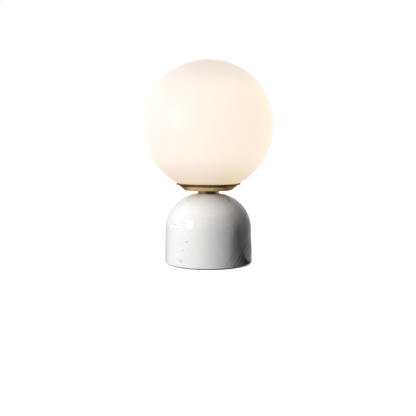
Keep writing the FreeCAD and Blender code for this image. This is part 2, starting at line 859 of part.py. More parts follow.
def lampholder():
    """Upper ceramic: oblong socket for the capsule's nose, and a chamber for each contact."""
    top = size("ceramic_height") - size("holder_plate")
    shoulder_z = size("ceramic_shoulder") - size("holder_plate")
    collar_top = shoulder_z + size("ceramic_collar")
    nose, collar = size("ceramic_nose_radius"), size("cup_radius")
    body = turned("lampholder", [
        corner(0, 0), corner(size("ceramic_radius"), 0),
        corner(size("ceramic_radius"), shoulder_z), corner(collar, shoulder_z),
        corner(collar, collar_top, size("ceramic_collar_round")), corner(nose, collar_top),
        corner(nose, top, size("ceramic_nose_round")), corner(0, top)], z=plate_high)
    socket = new_sketch(body, "XY_Plane", z=top)
    draw_rectangle(socket, size("socket_length"), size("socket_width"),
                   round=size("socket_round"))
    cut(body, socket, size("socket_depth"))
    chambers = new_sketch(body, "XY_Plane", z=top)
    for side in (-1, 1):
        draw_rectangle(chambers, size("chamber_length"), size("chamber_width"),
                       x=half_pitch * side)
    cut(body, chambers, top)
    drill(body, screw_clear, holder_bolts, top, level=top)
    drill(body, size("screw_head_radius") + size("head_play"), holder_bolts,
          size("holder_head_depth"), level=top)


def holder_plate():
    """Lower ceramic: closes the chambers, with a boss in each and a hole for each tail."""
    thickness, boss = size("holder_plate"), size("plate_boss_height")
    play = size("plate_boss_play") * 2
    body = turned("holder_plate", [
        corner(0, 0), corner(size("ceramic_radius"), 0, size("ceramic_foot_round")),
        corner(size("ceramic_radius"), thickness), corner(0, thickness)], z=ceramic_low)
    bosses = new_sketch(body, "XY_Plane", z=thickness)
    for side in (-1, 1):
        draw_rectangle(bosses, size("chamber_length") - play, size("chamber_width") - play,
                       x=half_pitch * side)
    pad(body, bosses, boss)
    drill(body, tail_hole, [(-half_pitch, ZERO), (half_pitch, ZERO)], thickness + boss,
          upwards=True)
    drill(body, screw_clear, holder_bolts, thickness, upwards=True)


def holder_screws():
    """Two screws down through the ceramic into the bracket's lips, heads up."""
    length, head = size("holder_screw_length"), size("screw_head_height")
    shank, head_radius = size("screw_radius"), size("screw_head_radius")
    tip, slope = size("edge_break"), size("screw_head_slope")
    outline = [corner(0, -length), corner(shank - tip, -length), corner(shank, tip - length),
               corner(shank, 0), corner(head_radius, 0), corner(head_radius, head - slope),
               corner(head_radius - slope, head), corner(0, head)]
    turned("holder_screws", outline, places=holder_bolts,
           z=ceramic_high - size("holder_head_depth"))


def contact(label, side):
    """Spring clip folded from strip, with flared mouths and a tail for the wire."""
    thick, tall = size("leaf_thickness"), size("leaf_height")
    inner = size("pin_wire_radius") + size("leaf_clearance")
    outer = inner + thick
    flare, mouth = size("leaf_flare"), tall + size("leaf_mouth")
    body = new_body(label, x=half_pitch * side, z=contact_low)
    clip = new_sketch(body, "YZ_Plane")
    right = [(outer, ZERO), (outer, tall), (outer + flare, mouth), (inner + flare, mouth),
             (inner, tall), (inner, thick)]
    steps = [corner(y, z) for y, z in right] + [corner(-y, z) for y, z in reversed(right)]
    draw_outline(clip, steps)
    pad(body, clip, size("leaf_width"), both_ways=True)
    tail = new_sketch(body, "XY_Plane")
    draw_rectangle(tail, size("tail_width"), size("tail_thickness"))
    pad(body, tail, size("tail_length"), reverse=True)


# ---------------------------------------------------------------- capsule lamp

def bulb_base():
    """Moulded base of the capsule: a round collar over a flat nose."""
    outer, collar = size("capsule_radius"), size("capsule_collar")
    spigot = outer - size("dome_wall") - size("fit_play")
    slope = size("capsule_slope")
    body = turned("bulb_base", [
        corner(0, 0), corner(outer - slope, 0), corner(outer, slope), corner(outer, collar),
        corner(spigot, collar), corner(spigot, collar + size("capsule_spigot")),
        corner(0, collar + size("capsule_spigot"))], z=capsule_low)
    nose = new_sketch(body, "XY_Plane")
    play = size("capsule_socket_play") * 2
    draw_rectangle(nose, size("socket_length") - play, size("socket_width") - play,
                   round=size("socket_round") - size("capsule_socket_play"))
    pad(body, nose, capsule_low - nose_low, reverse=True)


def bulb_pins():
    """Two wire loops, one each side, that push down between the contact leaves."""
    half, radius = size("pin_loop_half").value, size("pin_wire_radius").value
    top, low = nose_low.value, (nose_low - size("pin_length")).value
    loops = []
    for side in (-1, 1):
        middle = half_pitch.value * side
        corners = [Vector(middle - half, 0, top), Vector(middle - half, 0, low),
                   Vector(middle + half, 0, low), Vector(middle + half, 0, top)]
        loops.append(round_bar(corners, radius, bends=[half, half])[0])
    swept("bulb_pins", Part.makeCompound(loops))


def bulb_dome():
    """Frosted dome over the light board."""
    outer = size("capsule_radius")
    inner = outer - size("dome_wall")
    straight = size("dome_height") - outer
    turned("bulb_dome", [
        corner(inner, 0), corner(outer, 0), corner(outer, straight, arc=outer),
        corner(0, straight + outer), corner(0, straight + inner, arc=inner, side=-1),
        corner(inner, straight)], z=dome_low)


def led_board():
    box = doc.addObject("Part::Box", "led_board")
    box.Label = "led_board"
    bind(box, "Length", size("board_width"))
    bind(box, "Width", size("board_thickness"))
    bind(box, "Height", size("board_height"))
    place(box, x=-size("board_width") / 2, y=-size("board_thickness") / 2, z=board_low)
    pieces.append(box)


def led_chips():
    """A column of light chips on each face of the board."""
    body = new_body("led_chips", z=board_low)
    count = int(sheet.get("chip_count"))
    first = size("board_height") / 2 - size("chip_pitch") * ((count - 1) / 2)
    for side in (-1, 1):
        face = new_sketch(body, "XZ_Plane", z=size("board_thickness") / 2 * side)
        for i in range(count):
            draw_rectangle(face, size("chip_size"), size("chip_size"),
                           y=first + size("chip_pitch") * i)
        pad(body, face, size("chip_thickness"), reverse=side < 0)


# ---------------------------------------------------------------- globe

def glass_globe():
    """Blown opal globe with a drilled mouth, standing on the edge of the mouth."""
    outer, mouth = size("globe_radius"), size("globe_mouth_radius")
    inner = outer - size("globe_wall")
    centre = globe_centre - globe_low
    turned("glass_globe", [
        corner(mouth, 0, arc=outer), corner(0, centre + outer),
        corner(0, centre + inner, arc=inner, side=-1),
        corner(mouth, centre - root(inner * inner - mouth * mouth))], z=globe_low)


# ---------------------------------------------------------------- terminal block and wires

def terminal_block():
    """Nylon block with three poles, screwed to the bottom cover."""
    body = new_body("terminal_block", y=block_middle, z=cover_high)
    length, depth, height = size("block_length"), size("block_depth"), size("block_height")
    footprint = new_sketch(body, "XY_Plane")
    draw_rectangle(footprint, length, depth, round=size("block_round"))
    pad(body, footprint, height)
    poles = new_sketch(body, "XZ_Plane", z=depth / 2)
    for x in pole_places:
        draw_circle(poles, size("barrel_radius") + size("well_clearance"), x,
                    size("pole_height"))
    cut(body, poles, depth)
    wells = [(x, y - block_middle) for x, y in clamp_places]
    drill(body, size("clamp_well_radius"), wells, height - size("pole_height"), level=height)
    bolts = [(x, ZERO) for x, y in block_bolts]
    drill(body, screw_clear, bolts, height, level=height)
    drill(body, size("screw_head_radius") + size("head_play"), bolts, size("block_well_depth"),
          level=height)


def terminal_barrels():
    """Three brass barrels along Y, each with two threaded cross holes."""
    body = new_body("terminal_barrels", y=block_middle, z=pole_level)
    length = size("block_depth") - size("barrel_end_margin") * 2
    ends = new_sketch(body, "XZ_Plane")
    for x in pole_places:
        draw_circle(ends, size("barrel_radius"), x)
        draw_circle(ends, size("barrel_bore_radius"), x)
    pad(body, ends, length, both_ways=True)
    wells = [(x, y - block_middle) for x, y in clamp_places]
    drill(body, size("clamp_screw_radius") + size("thread_clearance"), wells,
          size("barrel_radius"), level=size("barrel_radius"))


def clamp_screws():
    """Six grub screws, one over each wire end."""
    tip = size("wire_radius") + size("clamp_nip")
    radius, slope = size("clamp_screw_radius"), size("clamp_screw_slope")
    outline = [corner(0, 0), corner(radius - slope, 0), corner(radius, slope),
               corner(radius, size("clamp_screw_length")), corner(0, size("clamp_screw_length"))]
    turned("clamp_screws", outline, places=clamp_places, z=pole_level + tip)


def block_screws():
    """Two screws that hold the block on the cover, heads up in their wells."""
    head, radius = size("screw_head_height"), size("screw_radius")
    seat = size("block_height") - size("block_well_depth")
    reach = seat + size("cover_thickness") - size("block_screw_spare")
    head_radius, slope = size("screw_head_radius"), size("screw_head_slope")
    outline = [corner(0, -reach), corner(radius, -reach), corner(radius, 0),
               corner(head_radius, 0), corner(head_radius, head - slope),
               corner(head_radius - slope, head), corner(0, head)]
    turned("block_screws", outline, places=block_bolts, z=cover_high + seat)


def lamp_wire(label, side, pole_x):
    """From a contact's tail, down the tube, and round into its pole of the block."""
    x = size("wire_offset").value * side
    tail = contact_low.value - size("tail_length").value - 0.3
    near = size("block_near_side").value
    level = pole_level.value
    shape, radii = round_bar([
        Vector(half_pitch.value * side, 0, tail), Vector(x, 0, tube_high.value - 0.5),
        Vector(x, 0, level), Vector(pole_x.value, near - 2.5, level),
        Vector(pole_x.value, near + size("wire_strip_in").value + 3.0, level)],
        size("wire_radius").value)
    print(label, "bend radii", [round(r, 1) for r in radii])
    swept(label, shape)


def earth_wire():
    """From the third pole of the block round to the tag under the lower nut."""
    pole_x = size("pole_pitch").value
    near, level = size("block_near_side").value, pole_level.value
    barrel_z = (tag_low + size("tag_thickness")).value - size("wire_radius").value - 0.7
    reach = size("tag_reach").value
    shape, radii = round_bar([
        Vector(pole_x, near + size("wire_strip_in").value + 3.0, level),
        Vector(pole_x, near - 6.0, level), Vector(pole_x + 8.0, -4.0, level + 2.5),
        Vector(reach + 7.5, -3.0, level + 11.0), Vector(reach + 9.5, 0, barrel_z),
        Vector(reach - 2.8, 0, barrel_z)], size("wire_radius").value)
    print("earth_wire bend radii", [round(r, 1) for r in radii])
    swept("earth_wire", shape)


# ---------------------------------------------------------------- build

foot_pad()
base_cover()
cover_screws()
cover_inserts()
marble_base()
cord_inlet_bush()
threaded_tube()
washer("clamp_pad", size("clamp_pad_radius"), size("clamp_pad_thickness"), clamp_pad_low)
washer("clamp_washer", size("clamp_washer_radius"), size("clamp_washer_thickness"),
       clamp_washer_low)
spring_washer()
earth_tag()
hex_nut("lower_nut", size("nut_height"), lower_nut_low)
tube_end_bush()
neck_spacer()
gallery_dish()
washer("gallery_washer", size("gallery_washer_radius"), size("gallery_washer_thickness"),
       gallery_floor)
hex_nut("gallery_nut", size("thin_nut_height"), gallery_nut_low)
globe_ring()
stem_sleeve()
holder_cup()
holder_bracket()
hex_nut("holder_nut", size("thin_nut_height"), holder_nut_low)
lampholder()
holder_plate()
holder_screws()
contact("contact_live", -1)
contact("contact_neutral", 1)
bulb_base()
bulb_pins()
bulb_dome()
led_board()
led_chips()
glass_globe()
terminal_block()
terminal_barrels()
clamp_screws()
block_screws()
lamp_wire("live_wire", -1, -size("pole_pitch"))
lamp_wire("neutral_wire", 1, ZERO)
earth_wire()
doc.recompute()

# ---------------------------------------------------------------- check and write

for thing in doc.Objects:
    if "Invalid" in thing.State or "Error" in thing.State:
        raise RuntimeError(f"{thing.Label} failed: {thing.State}")

os.makedirs("parts", exist_ok=True)
for piece in pieces:
    shape = piece.Shape
    if shape.isNull() or not shape.isValid() or not shape.Solids:
        raise RuntimeError(f"{piece.Label} has no valid solid")
for piece in pieces:
    piece.Shape.exportStep(f"parts/{piece.Label}.step")
    box = piece.Shape.BoundBox
    print(f"{piece.Label:18} solids {len(piece.Shape.Solids):2}  z {box.ZMin:7.2f} {box.ZMax:7.2f}")
print(len(pieces), "pieces, globe centre at", round(globe_centre.value, 2))
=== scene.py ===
# %% [markdown]
# # Glass globe table lamp
#
# An opal glass globe, lit from inside, stands in a spun brass gallery on a polished marble
# dome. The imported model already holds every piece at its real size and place, so this
# lesson is about how it looks: the stone's veins, the metal's polish, the glow of the
# glass, and the studio light that shows them.
#
# Lengths are in metres. The front of the lamp faces -Y, and +X is to the right.

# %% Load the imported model
import json
import math

import bmesh
import bpy
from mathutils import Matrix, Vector


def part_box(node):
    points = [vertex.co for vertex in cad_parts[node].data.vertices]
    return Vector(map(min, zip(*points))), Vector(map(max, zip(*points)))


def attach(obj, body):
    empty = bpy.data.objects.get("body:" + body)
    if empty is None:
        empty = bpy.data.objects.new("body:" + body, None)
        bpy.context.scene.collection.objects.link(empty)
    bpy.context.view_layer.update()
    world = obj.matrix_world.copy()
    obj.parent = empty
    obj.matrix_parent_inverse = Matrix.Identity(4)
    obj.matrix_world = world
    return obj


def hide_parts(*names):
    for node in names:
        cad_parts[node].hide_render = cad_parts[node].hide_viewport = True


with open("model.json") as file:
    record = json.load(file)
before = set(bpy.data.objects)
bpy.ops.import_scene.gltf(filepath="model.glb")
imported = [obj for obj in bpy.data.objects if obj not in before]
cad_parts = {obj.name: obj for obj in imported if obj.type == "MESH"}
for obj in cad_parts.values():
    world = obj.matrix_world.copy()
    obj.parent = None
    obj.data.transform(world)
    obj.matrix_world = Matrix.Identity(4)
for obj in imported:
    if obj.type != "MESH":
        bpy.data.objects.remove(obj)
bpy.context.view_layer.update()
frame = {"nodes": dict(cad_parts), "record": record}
nodes = frame["nodes"]
MM = 0.001

# %% [markdown]
# ## Sizes read from the pieces
#
# A pattern that sits on a piece, such as the painted shade under the gallery's lip, needs to
# know where the piece is. Typing the numbers again would let them drift, so they are read
# from the boxes.

# %% Where the main pieces are
dish_low, dish_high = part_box("gallery_dish")
globe_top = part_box("glass_globe")[1]
stone_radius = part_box("marble_base")[1].x
globe_radius = globe_top.x
globe_centre_height = globe_top.z - globe_radius
print("stone", round(stone_radius / MM, 1), "globe", round(globe_radius / MM, 1), "mm radius")

# %% [markdown]
# ## The camera
#
# The photograph shows the table's plane as a flat ellipse under the base, and a much
# flatter one at the gallery's rim. Two ellipses at known heights fix how high the camera
# stands and how far away it is, and the globe's size in the picture then fixes the lens.

# %% Set up the camera
IMAGE_WIDTH_PX = 416
SENSOR_WIDTH_MM = 36.0
CAMERA_DISTANCE = 0.760
CAMERA_HEIGHT = 0.1351
CAMERA_SIDE_STEP = -0.0005
CAMERA_TILT_DOWN = math.radians(5.33)
FOCAL_PX = 654.1

camera_data = bpy.data.cameras.new("camera")
camera_data.sensor_width = SENSOR_WIDTH_MM
camera_data.lens = FOCAL_PX * SENSOR_WIDTH_MM / IMAGE_WIDTH_PX
camera_data.clip_start = 0.01
camera_data.clip_end = 20.0
camera = bpy.data.objects.new("camera", camera_data)
camera.location = (CAMERA_SIDE_STEP, -CAMERA_DISTANCE, CAMERA_HEIGHT)
camera.rotation_euler = (math.pi / 2 - CAMERA_TILT_DOWN, 0, 0)
bpy.context.scene.collection.objects.link(camera)
bpy.context.scene.camera = camera
bpy.context.scene.view_settings.view_transform = "Standard"
print("lens", round(camera_data.lens, 1), "mm")

# %% [markdown]
# ## Small helpers for node trees
#
# A material is a tree of nodes. Written out one call at a time it is hard to read, so one
# helper makes a node, sets it up and plugs in its inputs: a plain value is written on the
# socket, and another node's output is linked to it.

# %% A helper that adds one node
def add(tree, kind, settings=None, **inputs):
    """Add a node. An input is named by its socket, or by _ and its number."""
    node = tree.nodes.new(kind)
    for name, value in (settings or {}).items():
        setattr(node, name, value)
    for name, value in inputs.items():
        if name[0] == "_":
            socket = node.inputs[int(name[1:])]
        else:
            socket = node.inputs[name.replace("_", " ")]
        if isinstance(value, bpy.types.NodeSocket):
            tree.links.new(value, socket)
        else:
            socket.default_value = value
    return node


def maths(tree, operation, *values, clamp=False):
    """One arithmetic step, such as maths(tree, "MULTIPLY", a, 2.0)."""
    inputs = {f"_{i}": v for i, v in enumerate(values)}
    settings = {"operation": operation, "use_clamp": clamp}
    return add(tree, "ShaderNodeMath", settings, **inputs).outputs[0]


def blend(tree, amount, first, second):
    """Mix two colours by an amount from 0 to 1."""
    node = add(tree, "ShaderNodeMix", {"data_type": "RGBA"}, _0=amount, _6=first, _7=second)
    return node.outputs[2]


def ramp(tree, value, low, high, smooth=True):
    """0 below low, 1 above high, and an even or smooth rise between them."""
    kind = "SMOOTHSTEP" if smooth else "LINEAR"
    node = add(tree, "ShaderNodeMapRange", {"interpolation_type": kind},
               Value=value, From_Min=low, From_Max=high)
    return node.outputs[0]


def noise(tree, vector, scale, detail=2.0, roughness=0.5, **more):
    """Cloudy noise from 0 to 1. Scale is in waves per metre."""
    return add(tree, "ShaderNodeTexNoise", None, Vector=vector, Scale=scale, Detail=detail,
               Roughness=roughness, **more).outputs["Fac"]


# %% A helper that starts a material
def new_material(name):
    """A material with one Principled shader. Returns the material, its tree and shader."""
    material = bpy.data.materials.new(name)
    material.use_nodes = True
    tree = material.node_tree
    return material, tree, tree.nodes["Principled BSDF"]


def place_of(tree):
    """The point being shaded, in the lamp's own frame."""
    return add(tree, "ShaderNodeTexCoord").outputs["Object"]


def roughen(tree, shader, height, strength, distance):
    """Fine relief that only the light sees."""
    bump = add(tree, "ShaderNodeBump", None, Height=height, Strength=strength,
               Distance=distance)
    tree.links.new(bump.outputs[0], shader.inputs["Normal"])


# %% [markdown]
# ## Effects that several finishes share
#
# A node group is built once and placed in each material with its own values, the way a
# workshop keeps one tool for many jobs. Three are enough here: a vein through stone, a
# soft fleck, and the rings that a lathe or spinning tool leaves.

# %% A helper that starts a node group
def new_group(name, inputs, outputs):
    """A shader node group. Inputs are (name, kind, value); outputs are (name, kind)."""
    group = bpy.data.node_groups.new(name, "ShaderNodeTree")
    for label, kind, value in inputs:
        socket = group.interface.new_socket(label, in_out="INPUT", socket_type=kind)
        socket.default_value = value
    for label, kind in outputs:
        group.interface.new_socket(label, in_out="OUTPUT", socket_type=kind)
    source = group.nodes.new("NodeGroupInput")
    sink = group.nodes.new("NodeGroupOutput")
    return group, source.outputs, sink.inputs


def use_group(tree, group, **inputs):
    """Place a group in a material with its own values. Returns the group's outputs."""
    return add(tree, "ShaderNodeGroup", {"node_tree": group}, **inputs).outputs


FLOAT, VECTOR = "NodeSocketFloat", "NodeSocketVector"

# %% [markdown]
# A vein in marble is a thin sheet of another mineral that runs through the block, so on
# the polished surface it shows as a wandering line. A sheet is a plane: the distance from
# it, bent by some noise, gives the line, and a second noise breaks it up.

# %% The vein group
def build_vein():
    group, given, result = new_group("stone vein", [
        ("Place", VECTOR, (0, 0, 0)), ("Facing", VECTOR, (0, 0, 1)), ("Offset", FLOAT, 0.0),
        ("Width", FLOAT, 0.001), ("Wander", FLOAT, 0.004), ("Scale", FLOAT, 30.0),
        ("Breaks", FLOAT, 0.5)], [("Mask", FLOAT)])
    along = add(group, "ShaderNodeVectorMath", {"operation": "DOT_PRODUCT"},
                _0=given["Place"], _1=given["Facing"]).outputs["Value"]
    sway = maths(group, "SUBTRACT", noise(group, given["Place"], given["Scale"], 4.0), 0.5)
    bent = maths(group, "ADD", along, maths(group, "MULTIPLY", sway, given["Wander"]))
    distance = maths(group, "ABSOLUTE", maths(group, "SUBTRACT", bent, given["Offset"]))
    thin = maths(group, "MULTIPLY", given["Width"],
                 maths(group, "ADD", noise(group, given["Place"], 90.0), 0.5))
    line = maths(group, "SUBTRACT", 1.0, maths(group, "DIVIDE", distance, thin), clamp=True)
    gaps = ramp(group, noise(group, given["Place"], 55.0, 3.0), 0.38, 0.62)
    kept = maths(group, "SUBTRACT", 1.0, maths(group, "MULTIPLY", given["Breaks"],
                                               maths(group, "SUBTRACT", 1.0, gaps)))
    group.links.new(maths(group, "MULTIPLY", line, kept, clamp=True), result["Mask"])
    return group


vein_group = build_vein()
print(vein_group.name, "takes", len(vein_group.interface.items_tree) - 1, "values")

# %% The fleck group
def build_fleck():
    """A short soft mark: as long as it is wide for a dot, or drawn out into a dash."""
    group, given, result = new_group("stone fleck", [
        ("Place", VECTOR, (0, 0, 0)), ("Centre", VECTOR, (0, 0, 0)),
        ("Along", VECTOR, (1, 0, 0)), ("Length", FLOAT, 0.002), ("Width", FLOAT, 0.001)],
        [("Mask", FLOAT)])
    away = add(group, "ShaderNodeVectorMath", {"operation": "SUBTRACT"},
               _0=given["Place"], _1=given["Centre"]).outputs[0]
    run = add(group, "ShaderNodeVectorMath", {"operation": "DOT_PRODUCT"},
              _0=away, _1=given["Along"]).outputs["Value"]
    reach = add(group, "ShaderNodeVectorMath", {"operation": "LENGTH"},
                _0=away).outputs["Value"]
    across = maths(group, "SUBTRACT", maths(group, "MULTIPLY", reach, reach),
                   maths(group, "MULTIPLY", run, run))
    across = maths(group, "SQRT", maths(group, "MAXIMUM", across, 0.0))
    far = maths(group, "POWER", maths(group, "DIVIDE", run, given["Length"]), 2.0)
    wide = maths(group, "POWER", maths(group, "DIVIDE", across, given["Width"]), 2.0)
    distance = maths(group, "SQRT", maths(group, "ADD", far, wide))
    ragged = maths(group, "MULTIPLY", distance,
                   maths(group, "ADD", noise(group, given["Place"], 500.0, 2.0), 0.5))
    group.links.new(ramp(group, ragged, 1.0, 0.25), result["Mask"])
    return group


fleck_group = build_fleck()
print(fleck_group.name, "takes", len(fleck_group.interface.items_tree) - 1, "values")

# %% The lathe ring group
def build_rings():
    """Fine rings about the lamp's axis, along any turned or spun profile."""
    group, given, result = new_group("lathe rings", [
        ("Place", VECTOR, (0, 0, 0)), ("Rings per metre", FLOAT, 3000.0)],
        [("Height", FLOAT), ("Radius", FLOAT)])
    split = add(group, "ShaderNodeSeparateXYZ", None, Vector=given["Place"]).outputs
    square = maths(group, "ADD", maths(group, "MULTIPLY", split["X"], split["X"]),
                   maths(group, "MULTIPLY", split["Y"], split["Y"]))
    radius = maths(group, "SQRT", square)
    along = maths(group, "ADD", radius, split["Z"])
    rings = add(group, "ShaderNodeTexNoise", {"noise_dimensions": "1D"},
                W=maths(group, "MULTIPLY", along, given["Rings per metre"]), Scale=1.0,
                Detail=3.0).outputs["Fac"]
    group.links.new(rings, result["Height"])
    group.links.new(radius, result["Radius"])
    return group


ring_group = build_rings()
print(ring_group.name, "gives its height and its radius")

# %% [markdown]
# ## Polished marble
#
# White marble is never one white. Light grey clouds lie deep in it, small flecks and
# dashes sit on the left of this stone, and reddish-grey veins climb steeply on its right.
# The clouds, the grain and the tiny pores can come from noise anywhere. The marks that
# give this stone its face are placed in the lamp's own frame: a vein by its plane,
# a fleck by its two ends. A polished stone has a smooth, clear gloss, so the roughness is
# low and hardly varies.

# %% Where this stone's own marks are, and a painted shade
STEEP_VEIN_FACING = (0.890, -0.183, -0.417)
STEEP_VEIN_WANDER = 0.0040
STEEP_VEINS = [
    # offset from the axis and width, in metres, and strength
    (0.0324, 0.00130, 0.90),
    (0.0358, 0.00080, 0.65),
    (0.0250, 0.00120, 0.30),
    (0.0290, 0.00200, 0.16),
    (0.0398, 0.00080, 0.40),
]
UPRIGHT_VEIN_FACING = (0.889, -0.441, 0.123)
UPRIGHT_VEIN_WANDER = 0.0060
UPRIGHT_VEINS = [(0.0541, 0.0008, 0.45), (0.0520, 0.0012, 0.22)]
GREY_FLECKS = [
    # one end, other end, half width, in mm, and strength
    ((-44.0, -18.1, 54.1), (-42.2, -20.6, 55.6), 0.55, 0.44),
    ((-38.4, -30.5, 48.5), (-35.2, -34.4, 47.8), 0.60, 0.72),
    ((-39.9, -29.8, 44.0), (-38.7, -31.4, 43.6), 0.60, 0.34),
    ((-36.3, -34.1, 43.7), (-35.2, -35.1, 44.4), 0.65, 0.49),
    ((-32.7, -33.0, 56.9), (-30.0, -37.5, 52.8), 1.15, 0.15),
    ((-30.3, -36.8, 53.8), (-27.2, -40.2, 50.8), 1.15, 0.13),
    ((-23.8, -43.8, 42.4), (-21.7, -45.0, 40.3), 0.60, 0.23),
    ((-42.5, -26.6, 34.1), (-40.1, -30.1, 32.0), 0.60, 0.31),
    ((-45.9, -18.8, 45.3), (-45.0, -21.1, 44.6), 0.55, 0.26),
    ((-25.6, -43.2, 29.5), (-22.7, -44.7, 31.8), 0.60, 0.65),
    ((-32.2, -38.6, 27.6), (-31.1, -39.5, 28.2), 0.60, 0.34),
    ((-23.8, -44.4, 23.9), (-22.9, -44.8, 23.5), 0.55, 0.31),
    ((-29.5, -40.9, 19.8), (-27.6, -42.2, 21.6), 0.60, 0.55),
    ((-34.3, -37.0, 19.2), (-33.4, -37.9, 18.4), 0.70, 0.21),
    ((-40.3, -30.6, 15.2), (-39.3, -31.9, 12.2), 0.50, 0.23),
    ((-33.6, -38.1, 9.2), (-28.7, -41.8, 9.0), 2.30, 0.22),
    ((-30.1, -40.9, 7.7), (-28.5, -42.0, 7.2), 1.10, 0.21),
    ((-32.1, -15.8, 71.4), (-34.6, -20.0, 67.2), 0.50, 0.16),
    ((-29.2, -16.9, 73.1), (-31.7, -22.9, 68.2), 0.50, 0.13),
    ((-26.8, -21.6, 72.6), (-29.7, -28.0, 66.1), 0.55, 0.13),
    ((-23.5, -23.9, 73.2), (-26.4, -27.8, 69.0), 0.50, 0.10),
    ((20.2, -35.8, 65.9), (21.0, -36.3, 64.8), 0.60, 0.52),
    ((21.5, -44.5, 46.7), (22.5, -44.2, 45.3), 0.75, 0.44),
]
# A broad painted shade on the stone's right front, where the light falls off: one end, other
# end, half width in mm, and strength.
PAINTED_SHADE_ZONE = ((26.1, -43.5, 8.1), (32.9, -36.1, 49.7), 9.0, 0.52)
OCHRE_HALF_WIDTH = 0.75
OCHRE_STRENGTH = 0.45
OCHRE_FLECKS = [
    ((-43.4, -21.0, 52.2), (-41.9, -25.1, 49.6)),
    ((-42.1, -24.5, 50.1), (-39.9, -28.5, 48.7)),
    ((-40.4, -27.8, 48.8), (-38.0, -31.1, 48.5)),
]
print(len(STEEP_VEINS + UPRIGHT_VEINS), "veins,", len(GREY_FLECKS + OCHRE_FLECKS), "flecks")

# %% The marble
WHITE_STONE = (0.87, 0.868, 0.862, 1)
GREY_CLOUD = (0.80, 0.80, 0.80, 1)
GREY_PORE = (0.50, 0.49, 0.48, 1)
# The colour of the painted shade on the stone's right front.
PAINTED_SHADE_BROWN = (0.40, 0.37, 0.33, 1)
DARK_RED_GREY = (0.30, 0.21, 0.19, 1)
PALE_RED_GREY = (0.42, 0.27, 0.24, 1)
FLECK_GREY = (0.22, 0.215, 0.21, 1)
OCHRE = (0.62, 0.50, 0.38, 1)


def marble():
    material, tree, shader = new_material("polished_marble")
    place = place_of(tree)
    cloud = ramp(tree, noise(tree, place, 22.0, 5.0, 0.6, Distortion=0.6), 0.35, 0.75)
    colour = blend(tree, cloud, WHITE_STONE, GREY_CLOUD)
    grain = ramp(tree, noise(tree, place, 900.0, 3.0), 0.30, 0.70, smooth=False)
    colour = blend(tree, 0.05, colour, blend(tree, grain, (0.5, 0.5, 0.5, 1), (1, 1, 1, 1)))
    pores = ramp(tree, noise(tree, place, 420.0, 2.0, 0.55), 0.66, 0.76)
    where = ramp(tree, noise(tree, place, 34.0, 2.0), 0.46, 0.60)
    pitted = maths(tree, "MULTIPLY", maths(tree, "MULTIPLY", pores, where), 0.30)
    colour = blend(tree, pitted, colour, GREY_PORE)

    def vein(colour, facing, wander, offset, width, strength, tone):
        mask = use_group(tree, vein_group, Place=place, Facing=facing, Offset=offset,
                         Width=width, Wander=wander, Scale=60.0, Breaks=0.45)["Mask"]
        return blend(tree, maths(tree, "MULTIPLY", mask, strength), colour, tone)

    def mark(colour, first, last, half_width, strength, tone):
        first, last = Vector(first) * MM, Vector(last) * MM
        along = last - first
        mask = use_group(tree, fleck_group, Place=place, Centre=(first + last) / 2,
                         Along=along.normalized(), Length=along.length / 2 + half_width * MM,
                         Width=half_width * MM)["Mask"]
        return blend(tree, maths(tree, "MULTIPLY", mask, strength), colour, tone)

    # Painted shade on the right front of the stone, drawn like a wide fleck.
    colour = mark(colour, *PAINTED_SHADE_ZONE, PAINTED_SHADE_BROWN)
    for offset, width, strength in STEEP_VEINS:
        colour = vein(colour, STEEP_VEIN_FACING, STEEP_VEIN_WANDER, offset, width,
                      strength, DARK_RED_GREY)
    for offset, width, strength in UPRIGHT_VEINS:
        colour = vein(colour, UPRIGHT_VEIN_FACING, UPRIGHT_VEIN_WANDER, offset, width,
                      strength, PALE_RED_GREY)
    for first, last, half_width, strength in GREY_FLECKS:
        colour = mark(colour, first, last, half_width, strength, FLECK_GREY)
    for first, last in OCHRE_FLECKS:
        colour = mark(colour, first, last, OCHRE_HALF_WIDTH, OCHRE_STRENGTH, OCHRE)
    tree.links.new(colour, shader.inputs["Base Color"])
    polish = maths(tree, "ADD", 0.03, maths(tree, "MULTIPLY", cloud, 0.03))
    tree.links.new(polish, shader.inputs["Roughness"])
    shader.inputs["IOR"].default_value = 1.50
    roughen(tree, shader, grain, 0.015, 0.0002)
    return material


# %% [markdown]
# ## Spun brass
#
# The gallery is a disc of brass pressed over a turning form, then brushed and lacquered.
# The tool leaves fine rings about the axis. They stretch every highlight sideways, which
# is what makes spun metal look spun. The hollow under the lip is painted dark brown as
# painted shade, for the shadow and dark reflection in it. The lacquer warms what is seen at a
# glancing angle.

# %% The brasses
# The colour of the painted shade in the hollow under the gallery's lip.
UNDER_LIP_PAINTED_SHADE = (0.17, 0.09, 0.03, 1)
EDGE_TINT = (0.50, 0.36, 0.20, 1)
HOLLOW_FADE = 1.0 * MM
LIP_FADE = 0.1 * MM


